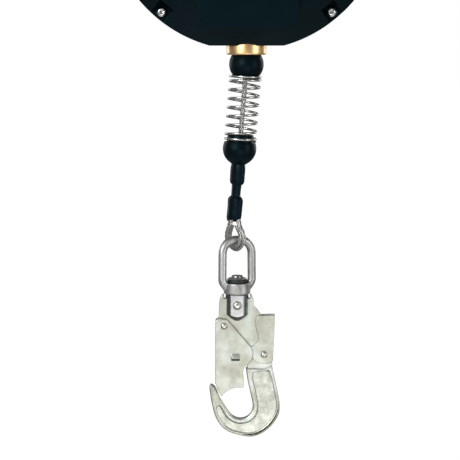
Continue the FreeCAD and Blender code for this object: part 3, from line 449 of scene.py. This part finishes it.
def piece(name, mesh, look, body, replaced=(), slot=None, sharp=40):
    """A finished mesh becomes a piece that rides on a body."""
    if mesh.materials:
        mesh.materials.clear()
    for name_of_look in (look if isinstance(look, tuple) else (look,)):
        mesh.materials.append(LOOKS[name_of_look].material)
    mesh.shade_smooth()
    mesh.set_sharp_from_angle(angle=math.radians(sharp))
    obj = bpy.data.objects.new(name, mesh)
    bpy.context.scene.collection.objects.link(obj)
    if body:
        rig.ride(obj, body)
    if replaced:
        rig.replaces(obj, *replaced)
    if slot:
        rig.slot(obj, slot)
    return obj


def mesh_of(name, points, faces, place=UPRIGHT):
    mesh = bpy.data.meshes.new(name)
    mesh.from_pydata([(place @ Vector(point)) * MM for point in points], [], faces)
    mesh.validate()
    return mesh


def grid_faces(rows, columns, start=0):
    """Quads between rings of points, each ring closed on itself."""
    faces = []
    for row in range(rows - 1):
        low, high = start + row * columns, start + (row + 1) * columns
        for column in range(columns):
            beside = (column + 1) % columns
            faces.append((low + column, low + beside, high + beside, high + column))
    return faces


def outward(mesh, merge=0):
    """Turns the faces outward, and joins points closer than merge."""
    build = bmesh.new()
    build.from_mesh(mesh)
    if merge:
        bmesh.ops.remove_doubles(build, verts=build.verts, dist=merge)
    bmesh.ops.recalc_face_normals(build, faces=build.faces)
    build.to_mesh(mesh)
    build.free()


def softened(profile, radius, steps=4):
    """An open profile with its inner corners rounded."""
    corners = [Vector(point) for point in profile]
    out = [corners[0]]
    for before, corner, after in zip(corners, corners[1:], corners[2:]):
        back, ahead = before - corner, after - corner
        if back.length < 1e-6 or ahead.length < 1e-6 or (
                back.normalized() + ahead.normalized()).length < 0.12:
            out.append(corner)
            continue
        cut = min(radius, back.length * 0.45, ahead.length * 0.45)
        first, last = corner + back.normalized() * cut, corner + ahead.normalized() * cut
        for number in range(steps + 1):
            t = number / steps
            out.append(first * (1 - t) ** 2 + corner * (2 * t * (1 - t)) + last * t * t)
    out.append(corners[-1])
    return out


def lathe_parts(profile, segments, start=0):
    points, faces = [], []
    for radius, height in profile:
        for number in range(segments):
            angle = 2 * math.pi * number / segments
            points.append((radius * math.cos(angle), radius * math.sin(angle), height))
    return points, grid_faces(len(profile), segments, start)


def lathe(name, profile, place, look, body, replaced=(), radius=0.5, segments=96,
          slot=None):
    points, faces = lathe_parts(softened(profile, radius), segments)
    mesh = mesh_of(name, points, faces, place)
    outward(mesh, 1e-6)
    return piece(name, mesh, look, body, replaced, slot, sharp=50)


def refined(node, look, voxel, rounds, slot=None):
    """A piece cast from a CAD node, its edges rounded as in forging or moulding."""
    mesh = nodes[node].data.copy()
    obj = bpy.data.objects.new(node + "_cast", mesh)
    bpy.context.scene.collection.objects.link(obj)
    weld = obj.modifiers.new("weld", "WELD")
    weld.merge_threshold = 1e-6
    remesh = obj.modifiers.new("remesh", "REMESH")
    remesh.mode = "VOXEL"
    remesh.voxel_size = voxel * MM
    smooth = obj.modifiers.new("smooth", "SMOOTH")
    smooth.factor = 0.5
    smooth.iterations = rounds
    shaped = bpy.data.meshes.new_from_object(
        obj.evaluated_get(bpy.context.evaluated_depsgraph_get()))
    bpy.data.objects.remove(obj)
    bpy.data.meshes.remove(mesh)
    return piece(node + "_cast", shaped, look, OWNER[node], (node,), slot, sharp=60)


# ---- wire rope ----------------------------------------------------------------

EXIT = 22.67                       # the guide's mouth, up the cable's line

ROPE_ROUTE = [
    (0, 0, EXIT), (0, 0, 6), (0, 0, -88), (-1.67, 1.99, -103), (-1.67, 1.99, -154.6),
    (-7.11, 12.29, -175.59), (5.32, 0, -188.21), (13.25, -12.29, -172.36),
    (1.67, -1.99, -154.6), (1.67, -1.99, -104)]


def route_points(name, points, place):
    """Points along the smooth route whose control points these are, in metres."""
    curve = bpy.data.curves.new(name, "CURVE")
    curve.dimensions = "3D"
    spline = curve.splines.new("NURBS")
    spline.points.add(len(points) - 1)
    for spot, point in zip(spline.points, points):
        spot.co = (*((place @ Vector(point)) * MM), 1)
    spline.order_u = 3
    spline.use_endpoint_u = True
    spline.resolution_u = 40
    route = bpy.data.objects.new(name, curve)
    line = bpy.data.meshes.new_from_object(route)
    spots = [vertex.co.copy() for vertex in line.vertices]
    bpy.data.objects.remove(route)
    bpy.data.meshes.remove(line)
    return spots


def evenly(spots, step):
    """The same line in equal steps."""
    lengths = [0]
    for first, last in zip(spots, spots[1:]):
        lengths.append(lengths[-1] + (last - first).length)
    count = max(2, round(lengths[-1] / step))
    out, here = [], 0
    for number in range(count + 1):
        goal = lengths[-1] * number / count
        while here < len(spots) - 2 and lengths[here + 1] < goal:
            here += 1
        share = (goal - lengths[here]) / max(lengths[here + 1] - lengths[here], 1e-9)
        out.append(spots[here].lerp(spots[here + 1], min(max(share, 0), 1)))
    return out


def frames_along(spots):
    """Two directions across the line at each spot, with no twist between them."""
    across = None
    for number, spot in enumerate(spots):
        before, after = spots[max(number - 1, 0)], spots[min(number + 1, len(spots) - 1)]
        along = (after - before).normalized()
        if across is None:
            across = along.cross(Vector((0.3, 0.9, 0.1))).normalized()
        across = (across - along * across.dot(along)).normalized()
        yield spot, across, along.cross(across)


def strands(spots, radius, lay, count=6, around=20, lobes=6):
    """Stranded wire rope: strands twisted round a core, each ridged by its wires."""
    step = (spots[1] - spots[0]).length
    rings = list(frames_along(spots))
    points, faces = [], []
    strand = radius / 3
    for number in range(count + 1):
        start = len(points)
        core = number == count
        for place, (spot, right, up) in enumerate(rings):
            turn = 2 * math.pi * (number / count + place * step / lay)
            reach = 0 if core else strand * 2 * 0.99
            middle = spot + (right * math.cos(turn) + up * math.sin(turn)) * reach
            twist = -2 * math.pi * place * step / (lay * 0.42)
            for side in range(around):
                angle = 2 * math.pi * side / around
                ridge = 1 - 0.13 * (1 - abs(math.cos(lobes / 2 * (angle - twist))))
                size = strand * ridge * 1.02
                points.append(middle + (right * math.cos(angle) + up * math.sin(angle)) * size)
        faces += grid_faces(len(rings), around, start)
        faces.append(tuple(range(start + around - 1, start - 1, -1)))
        faces.append(tuple(range(len(points) - around, len(points))))
    return points, faces


def lifeline_rope():
    route = route_points("rope_route", ROPE_ROUTE, LEANING)
    spots = evenly(route, ROPE_STEP * MM)
    points, faces = strands(spots, ROPE_RADIUS * MM, ROPE_LAY * MM)
    mesh = bpy.data.meshes.new("lifeline_rope")
    mesh.from_pydata(points, [], faces)
    mesh.validate()
    rope = piece("lifeline_rope", mesh, "wire_rope", None, (), "wire_rope", sharp=80)
    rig.blend(rope, "housing", "lifeline", start=(LEANING @ Vector((0, 0, EXIT))) * MM,
             end=(LEANING @ Vector((0, 0, 6))) * MM)
    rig.replaces(rope, "payout_cable", "lifeline_cable")
    return rope, spots


# ---- buffer -------------------------------------------------------------------

def opening(turns):
    near_end = min(turns, COIL_TURNS - turns)
    share = min(max((near_end - 0.6) / 1.2, 0), 1)
    return 0.31 + 0.69 * share * share * (3 - 2 * share)


def buffer_spring():
    per_turn, around = 48, 14
    count = COIL_TURNS * per_turn
    rises = [opening((number + 0.5) / per_turn) for number in range(count)]
    bottom = -(CUP_SEAT - COIL_WIRE - 0.1)
    scale = (COIL_TOP - bottom) / sum(rises)
    heights = [bottom]
    for rise in rises:
        heights.append(heights[-1] + rise * scale)
    points = []
    for number, height in enumerate(heights):
        angle = 2 * math.pi * number / per_turn
        out = Vector((math.cos(angle), math.sin(angle), 0))
        thin = COIL_WIRE * (0.55 if number in (0, count) else 1)
        for side in range(around):
            turn = 2 * math.pi * side / around
            points.append(out * (COIL_RADIUS + thin * math.cos(turn))
                          + Vector((0, 0, height + thin * math.sin(turn))))
    faces = grid_faces(len(heights), around)
    faces.append(tuple(range(around - 1, -1, -1)))
    faces.append(tuple(range(len(points) - around, len(points))))
    coil = piece("buffer_coil", mesh_of("buffer_coil", points, faces, LEANING),
                 "bright_spring", None, (), "bright_spring", sharp=60)
    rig.blend(coil, "lifeline", "bumper", start=(LEANING @ Vector((0, 0, bottom))) * MM,
             end=(LEANING @ Vector((0, 0, COIL_TOP))) * MM)
    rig.replaces(coil, "buffer_spring")


def arc(radius, middle, low, high, count):
    first, last = (math.asin((height - middle) / radius) for height in (low, high))
    return [(radius * math.cos(first + (last - first) * number / count),
             middle + radius * math.sin(first + (last - first) * number / count))
            for number in range(count + 1)]


def bumpers():
    ball = ([(3.1, -14), (12.9, -14), (13.3, -10.6)] + arc(BALL_RADIUS, 0, -9.9, 11.9, 28)
            + [(3.1, 12)])
    lathe("bumper_ball", ball, LEANING, "bumper_rubber", "bumper", ("upper_bumper",), 0.5)
    cup = ([(0, -CUP_NECK), (7.6, -CUP_NECK)]
           + arc(CUP_RADIUS, -CUP_DROP, -CUP_NECK + 0.6, -CUP_SEAT, 28)
           + [(13.3, -CUP_SEAT), (12.9, -CUP_SEAT + 8), (2.6, -CUP_SEAT + 8)])
    lathe("bumper_cup", cup, LEANING, "bumper_rubber", "lifeline", ("lower_bumper",), 0.5)


def shrink_sleeve():
    """Black sleeve shrunk over both ferrules, with a trimmed, uneven lower end."""
    spans = [(-97.6, 7.2, 5.4), (-100, 8.0, 5.9), (-104, 8.7, 6.3), (-116.4, 8.7, 6.3),
             (-118.6, 7.9, 5.5), (-120.6, 5.9, 3.7), (-131.2, 5.7, 3.6), (-133.4, 8.0, 5.6),
             (-135.4, 8.9, 6.4), (-152.4, 8.8, 6.3), (-156.6, 8.1, 5.6)]
    around, points = 64, []
    rings = []
    height = spans[0][0]
    while height > spans[-1][0]:
        rings.append(height)
        height -= 0.6
    rings.append(spans[-1][0])

    def size_at(height):
        for (high, wide, deep), (low, wide_low, deep_low) in zip(spans, spans[1:]):
            if low <= height <= high:
                share = (high - height) / (high - low)
                share = share * share * (3 - 2 * share)
                return wide + (wide_low - wide) * share, deep + (deep_low - deep) * share
        return spans[-1][1:]

    def around_at(height, inset=0):
        wide, deep = size_at(height)
        for number in range(around):
            angle = 2 * math.pi * number / around
            out = Vector((wide * math.cos(angle), deep * math.sin(angle), 0))
            crease = noise.noise(Vector((math.cos(angle) * 1.6, math.sin(angle) * 1.6,
                                         height * 0.10)) + Vector((7, 3, 1)))
            ridge = noise.noise(Vector((math.cos(angle) * 3, math.sin(angle) * 3,
                                        height * 0.55)))
            out *= 1 + (0.035 * crease + 0.018 * ridge) - inset / out.length
            low_end = (spans[-1][0] - height) / 12 + 1
            hang = max(low_end, 0) * 1.5 * math.sin(angle + 2.2)
            yield (out.x * math.cos(LOOP_TURN) - out.y * math.sin(LOOP_TURN),
                   out.x * math.sin(LOOP_TURN) + out.y * math.cos(LOOP_TURN),
                   height + hang)

    for height in rings:
        points += around_at(height)
    for height, inset in ((spans[-1][0], 0.9), (spans[-1][0] + 4, 0.9)):
        points += around_at(height, inset)
    faces = grid_faces(len(rings) + 2, around)
    mesh = mesh_of("cable_sleeve", points, faces, LEANING)
    outward(mesh)
    piece("cable_sleeve", mesh, "sleeve_plastic", "lifeline", ("shrink_sleeve",),
          "sleeve_plastic", sharp=50)


# ---- hook ------------------------------------------------------------------------
# Outlines seen from the front in the frame of the clevis rivet, as runs of points
# that a smooth line passes through; a run of two points is straight.

GATE_PIVOT, LEVER_PIVOT = (-13.1, -21.1), (26.9, -50.2)
WEB = [
    [(-13.1, 10.6), (-14.6, 10.3), (-16.8, 7.5), (-17.8, 3), (-18.3, -8), (-18.6, -18)],
    [(-18.6, -18), (-17.4, -25.5), (-11.5, -27.3)],
    [(-11.5, -27.3), (7, -50), (9, -58), (10.5, -66)],
    [(10.5, -66), (34.8, -66)],
    [(34.8, -66), (35.4, -60), (34.5, -48), (30, -28), (26, -14), (22, -7)],
    [(22, -7), (17.2, -1), (16.8, 4), (14.6, 9.8), (13.1, 10.6)],
    [(13.1, 10.6), (13.1, 6.6)],
    [(13.1, 6.6), (-13.1, 6.6)],
    [(-13.1, 6.6), (-13.1, 10.6)],
]
BOWL = [
    [(8.8, -64.2), (16, -63.8), (26, -64.6), (35.2, -61.5)],
    [(35.2, -61.5), (37, -70.5), (41.2, -90), (43, -104), (40.6, -114.5), (31, -126.5),
     (18, -133.6), (5, -133.2), (-11, -127.6), (-20.6, -116.5), (-25.6, -100),
     (-28, -84)],
    [(-28, -84), (-26.2, -80.9), (-22.2, -83.2)],
    [(-22.2, -83.2), (-17, -95.5)],
    [(-17, -95.5), (-13.5, -101), (-6.5, -111.2), (-0.5, -115), (5, -115.6),
     (10.5, -113.6), (14.4, -109), (15.8, -103), (14, -92.5), (10.4, -76), (8.8, -64.2)],
]
PANEL = [
    [(16.5, -69), (21, -68), (28, -67.6), (32.2, -70)],
    [(32.2, -70), (35, -79), (38, -93), (39, -103), (36.5, -112.5), (28, -122.8),
     (17, -128.8), (6, -129.2), (-7.5, -125), (-15.8, -116.5), (-20, -107), (-20, -104.5)],
    [(-20, -104.5), (-18, -102.8), (-16, -105)],
    [(-16, -105), (-11, -113.3), (-3, -119.4), (4.5, -120.6), (12.5, -118.6),
     (19, -112.5), (21.2, -103.5), (19.5, -91), (16, -75), (16.5, -69)],
]


def outline(runs, step=0.7):
    """Evenly spaced points round a closed outline."""
    out = []
    for run in runs:
        knots = [Vector(point) for point in run]
        before = knots[0] * 2 - knots[1]
        after = knots[-1] * 2 - knots[-2]
        chain = [before] + knots + [after]
        for first, start, end, last in zip(chain, chain[1:], chain[2:], chain[3:]):
            count = max(1, round((end - start).length / step))
            reach = (end - start).length
            leave = (end - first).normalized() * reach
            arrive = (last - start).normalized() * reach
            for number in range(count):
                t = number / count
                out.append(start * (2 * t ** 3 - 3 * t * t + 1)
                           + leave * (t ** 3 - 2 * t * t + t)
                           + end * (3 * t * t - 2 * t ** 3) + arrive * (t ** 3 - t * t))
    return out


def circle(middle, radius, count=40):
    return [Vector((middle[0] + radius * math.cos(2 * math.pi * number / count),
                    middle[1] + radius * math.sin(2 * math.pi * number / count)))
            for number in range(count)]


def plate(name, loops, half, bevel, place, steps=3):
    """A flat plate with rounded edges; the loops after the first are its holes."""
    curve = bpy.data.curves.new(name, "CURVE")
    curve.dimensions = "2D"
    curve.fill_mode = "BOTH"
    curve.extrude = (half - bevel) * MM
    curve.bevel_depth = bevel * MM
    curve.bevel_resolution = steps
    curve.offset = -bevel * MM
    for number, loop in enumerate(loops):
        turned = sum(a.x * b.y - b.x * a.y for a, b in zip(loop, loop[1:] + loop[:1])) > 0
        if turned == (number > 0):
            loop = loop[::-1]
        spline = curve.splines.new("POLY")
        spline.points.add(len(loop) - 1)
        for spot, point in zip(spline.points, loop):
            spot.co = (point.x * MM, point.y * MM, 0, 1)
        spline.use_cyclic_u = True
    obj = bpy.data.objects.new(name, curve)
    mesh = bpy.data.meshes.new_from_object(obj)
    bpy.data.objects.remove(obj)
    to_world = place.copy()
    to_world.translation *= MM
    mesh.transform(to_world)
    return mesh


def joined(name, meshes):
    """Several meshes as one, each with its own material index."""
    build = bmesh.new()
    for number, mesh in enumerate(meshes):
        start = len(build.faces)
        build.from_mesh(mesh)
        build.faces.ensure_lookup_table()
        for face in build.faces[start:]:
            face.material_index = number
        bpy.data.meshes.remove(mesh)
    mesh = bpy.data.meshes.new(name)
    build.to_mesh(mesh)
    build.free()
    return mesh


def hook_body():
    """Web plate, and a J whose rounded rim stands proud of a cast panel."""
    web = plate("web", [outline(WEB), circle(LEVER_PIVOT, 2.6)], WEB_HALF, 0.7, HOOK)
    rim = plate("rim", [outline(BOWL), outline(PANEL)], RIM_HALF, 1.7, HOOK, 5)
    middle = Vector((10, -98))
    under_rim = [(point - middle) * 1.012 + middle for point in outline(PANEL)]
    panel = plate("panel", [under_rim], PANEL_HALF, 0.1, HOOK, 1)
    mesh = joined("hook_forging", [web, rim, panel])
    for face in mesh.polygons:
        face.material_index = 1 if face.material_index == 2 else 0
    piece("hook_forging", mesh, ("hook_zinc", "cast_panel"), "hook", ("hook_body",),
          "hook_zinc", sharp=48)


def rivet(name, node, at, radius, seat, body):
    """A headed rivet whose domed centre takes a brighter steel than its rim."""
    meshes = []
    for side in (1, -1):
        place = HOOK @ standing(at[0], at[1], 0)
        if side < 0:
            place = place @ Matrix.Rotation(math.pi, 4, "X")
        for profile in (
                [(radius * 0.6, seat - 1), (radius, seat), (radius, seat + 0.35),
                 (radius * 0.86, seat + 0.95), (radius * 0.66, seat + 0.8)],
                [(radius * 0.67, seat + 0.7), (radius * 0.5, seat + 1.0),
                 (radius * 0.25, seat + 1.12), (0.02, seat + 1.15)]):
            points, faces = lathe_parts(softened(profile, 0.25), 40)
            meshes.append(mesh_of(name, points, faces, place))
    mesh = joined(name, meshes)
    for face in mesh.polygons:
        face.material_index %= 2
    piece(name, mesh, ("rivet_steel", "brighter_steel"), body, (node,), "hook_zinc")


def gate_tab():
    """The lanced tab of the gate: a tongue bent out over its slot, the slot a near-black quad of painted shadow and
    the tongue's end wall painted shade.
    """
    columns, rows, wide, tall, rise = 24, 12, 9.4, 5.0, 2.2
    left, top, face = -6.4, -49.0, GATE_FACE
    points, faces = [], []
    for row in range(rows + 1):
        down = row / rows
        for column in range(columns + 1):
            across = column / columns
            edge = min(across, 1 - across) / 0.16
            edge = 1 if edge > 1 else math.sin(edge * math.pi / 2)
            points.append((left + wide * across, top - tall * down,
                           face + rise * edge * math.sin(down * math.pi / 2) - 0.05))
    wall_start = len(points)                    # the tongue's end, back to the face
    for column in range(columns + 1):
        points.append((left + wide * column / columns, top - tall, face - 0.3))
    for row in range(rows + 1):
        for column in range(columns):
            corner = row * (columns + 1) + column
            faces.append((corner, corner + columns + 1, corner + columns + 2, corner + 1))
    # a near-black quad below the tongue's end: painted shadow in the slot
    shadow_quad_start = len(points)
    for x, y in ((0.3, -0.1), (wide - 0.3, -0.1), (wide - 0.6, 2.3), (0.6, 2.3)):
        points.append((left + x, top - tall - y, face + 0.14))
    faces.append(tuple(range(shadow_quad_start + 3, shadow_quad_start - 1, -1)))
    mesh = mesh_of("gate_tab", points, faces, HOOK)
    outward(mesh)
    # the end wall and the quad take the near-black material: painted shade
    for face in mesh.polygons:
        face.material_index = int(max(face.vertices) >= wall_start)
    piece("gate_tab", mesh, ("hook_zinc", "painted_shadow_black"), "gate", (), "hook_zinc")


def second_look(obj, chosen):
    """The faces whose normal is chosen get the piece's second material."""
    for face in obj.data.polygons:
        if chosen(face.normal):
            face.material_index = 1


# ---- outlet and fasteners -------------------------------------------------------

def cable_guide():
    lathe("outlet_guide", [
        (7.4, -307), (7.5, -313.5), (7.5, -318.3), (11, -320.7), (14.8, GUIDE_BOTTOM),
        (GUIDE_RADIUS - 1.2, GUIDE_BOTTOM), (GUIDE_RADIUS, GUIDE_BOTTOM + 1.2),
        (GUIDE_RADIUS, GUIDE_TOP), (14, GUIDE_TOP), (14, -291), (13.2, -291),
        (10.4, -297), (8.2, -302), (7.4, -307)], UPRIGHT, "brass", "housing",
        ("cable_guide",), 0.6, 128)


# ---- finishing --------------------------------------------------------------------

rope, rope_spots = lifeline_rope()
buffer_spring()
bumpers()
shrink_sleeve()
cable_guide()

refined("thimble", "thimble", 0.24, 3, "bright_spring")
refined("swivel_eye", "forged_steel", 0.4, 8)
stem = refined("swivel_stem", ("dark_steel", "stem_flat"), 0.35, 6, "forged_steel")
second_look(stem, lambda normal: abs(normal.y) > 0.985)
# Painted light on the stem nut: faces turned upward take the brighter steel as a painted highlight, the rest the
# near-black as painted shade.
nut = refined("stem_nut", ("painted_shadow_black", "brighter_steel"), 0.3, 4, "forged_steel")
second_look(nut, lambda normal: normal.z > 0.6)
hook_body()
gate_tab()
refined("gate", "hook_zinc", 0.33, 6)
refined("lock_lever", "hook_zinc", 0.3, 6)
rivet("clevis_rivet_heads", "clevis_rivet", (0, 0), 4.4, CLEVIS_FACE, "hook")
rivet("gate_rivet_heads", "gate_rivet", GATE_PIVOT, 3.3, GATE_FACE, "hook")
rivet("lever_rivet_heads", "lever_rivet", LEVER_PIVOT, 3.3, LEVER_FACE, "hook")
refined("anchor_eye", "forged_steel", 0.6, 7)
refined("carry_handle", "handle_coating", 0.6, 6)
refined("cover_screws", "screw_steel", 0.3, 3, "plated_steel")

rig.cord(rope, exit=rope_spots[0], length=0.3066, diameter=2 * ROPE_RADIUS * MM,
        far_end="fitting", stiffness="stiff", lay="taut", path=rope_spots[::4],
        with_pieces=["cable_sleeve", "thimble_cast", nodes["ferrules"]])

SHOWN = {
    "housing_plastic": ["front_cover", "rear_cover"],
    "gasket_rubber": ["cover_gasket"],
    "plated_steel": ["cover_nuts", "frame_plate_front", "frame_plate_rear",
                     "frame_spacers", "frame_bolts", "anchor_block", "anchor_nut",
                     "anchor_washer", "main_shaft", "shaft_nuts", "drum_bearings",
                     "spring_case", "spring_cover", "power_spring", "spring_arbor",
                     "ratchet_wheel", "pressure_plate", "disc_spring", "brake_nut",
                     "pawl_1", "pawl_2", "pawl_pins", "pawl_springs", "guide_nut",
                     "handle_brackets", "handle_pins", "bracket_screws"],
    "drum_aluminium": ["drum_hub", "drum_flange_front", "drum_flange_rear", "ferrules"],
    "wire_rope": ["wound_cable", "cable_run"],
    "brake_lining": ["friction_lining_front", "friction_lining_rear"],
    "bright_spring": ["gate_spring", "lever_spring"],
}
for look, names in SHOWN.items():
    for name in names:
        nodes[name].data.materials.clear()
        nodes[name].data.materials.append(LOOKS[look].material)


# ---- stage, light and camera -------------------------------------------------

LIGHTS = [       # name, place, what it points at, width, height and watts
    ("key", (-1.3, -1.8, 0.3), (0, 0, -0.5), 1.0, 1.4, 48),
    ("fill", (1.8, -1.3, -0.3), (0, 0, -0.5), 0.8, 1.6, 18),
    ("front_low", (0.1, -1.9, -1.2), (0, 0, -0.62), 1.1, 0.6, 6.5),
    ("bounce", (0, -0.3, -1.5), (0, 0, -0.6), 2.2, 2.2, 7),
    ("rear_left", (-1.6, 1.6, 0), (0, 0, -0.4), 0.8, 1.4, 10),
    ("rear_right", (1.6, 1.6, 0), (0, 0, -0.4), 0.8, 1.4, 10),
]


def area_light(name, at, towards, wide, high, power):
    data = bpy.data.lights.new(name, "AREA")
    data.shape = "RECTANGLE"
    data.size, data.size_y = wide, high
    data.energy = power
    light = bpy.data.objects.new(name, data)
    bpy.context.scene.collection.objects.link(light)
    light.location = at
    light.rotation_mode = "QUATERNION"
    light.rotation_quaternion = (Vector(towards) - Vector(at)).to_track_quat("-Z", "Y")


def white_world():
    """A white studio to look at, and a softer one for the light it gives."""
    world = bpy.data.worlds.new("studio")
    bpy.context.scene.world = world
    world.use_nodes = True
    tree = world.node_tree
    seen = tree.nodes["Background"]
    seen.inputs["Color"].default_value = (1, 1, 1, 1)
    seen.inputs["Strength"].default_value = 1.0
    given = tree.nodes.new("ShaderNodeBackground")
    given.inputs["Color"].default_value = (0.95, 0.98, 1, 1)
    given.inputs["Strength"].default_value = 0.2
    rays = tree.nodes.new("ShaderNodeLightPath")
    mix = tree.nodes.new("ShaderNodeMixShader")
    tree.links.new(rays.outputs["Is Camera Ray"], mix.inputs["Fac"])
    tree.links.new(given.outputs["Background"], mix.inputs[1])
    tree.links.new(seen.outputs["Background"], mix.inputs[2])
    tree.links.new(mix.outputs["Shader"], tree.nodes["World Output"].inputs["Surface"])


def stage():
    """A wide pale floor that runs into the white world, and the lights."""
    build = bmesh.new()
    bmesh.ops.create_circle(build, cap_ends=True, segments=96, radius=40)
    mesh = bpy.data.meshes.new("floor")
    build.to_mesh(mesh)
    build.free()
    floor = bpy.data.objects.new("floor", mesh)
    bpy.context.scene.collection.objects.link(floor)
    floor.location = (0, 0, -1.6)
    paper = Look("pale_floor", (0.2, 0.2, 0.2), 0, 0.9, Emission_Color=(1, 1, 1, 1),
                 Emission_Strength=1.0, Specular_IOR_Level=0.0)
    floor.data.materials.append(paper.material)
    floor.visible_diffuse = floor.visible_glossy = False
    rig.stage(floor)
    white_world()
    for light in LIGHTS:
        area_light(*light)
    bpy.context.scene.view_settings.view_transform = "Standard"


def camera():
    data = bpy.data.cameras.new("camera")
    eye = bpy.data.objects.new("camera", data)
    bpy.context.scene.collection.objects.link(eye)
    at, look_at = Vector((-0.05, -2.0, -0.3)), Vector((-0.0163, 0, -0.4999))
    width_in_view = 0.4606
    data.sensor_width = 36
    data.lens = data.sensor_width * (look_at - at).length / width_in_view
    eye.location = at
    eye.rotation_mode = "QUATERNION"
    eye.rotation_quaternion = (look_at - at).to_track_quat("-Z", "Y")
    bpy.context.scene.camera = eye


stage()
camera()

low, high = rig.bounds()
with open("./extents.json", "w") as sizes:
    json.dump({"cad": [list(cad_low), list(cad_high)], "scene": [list(low), list(high)]},
              sizes)
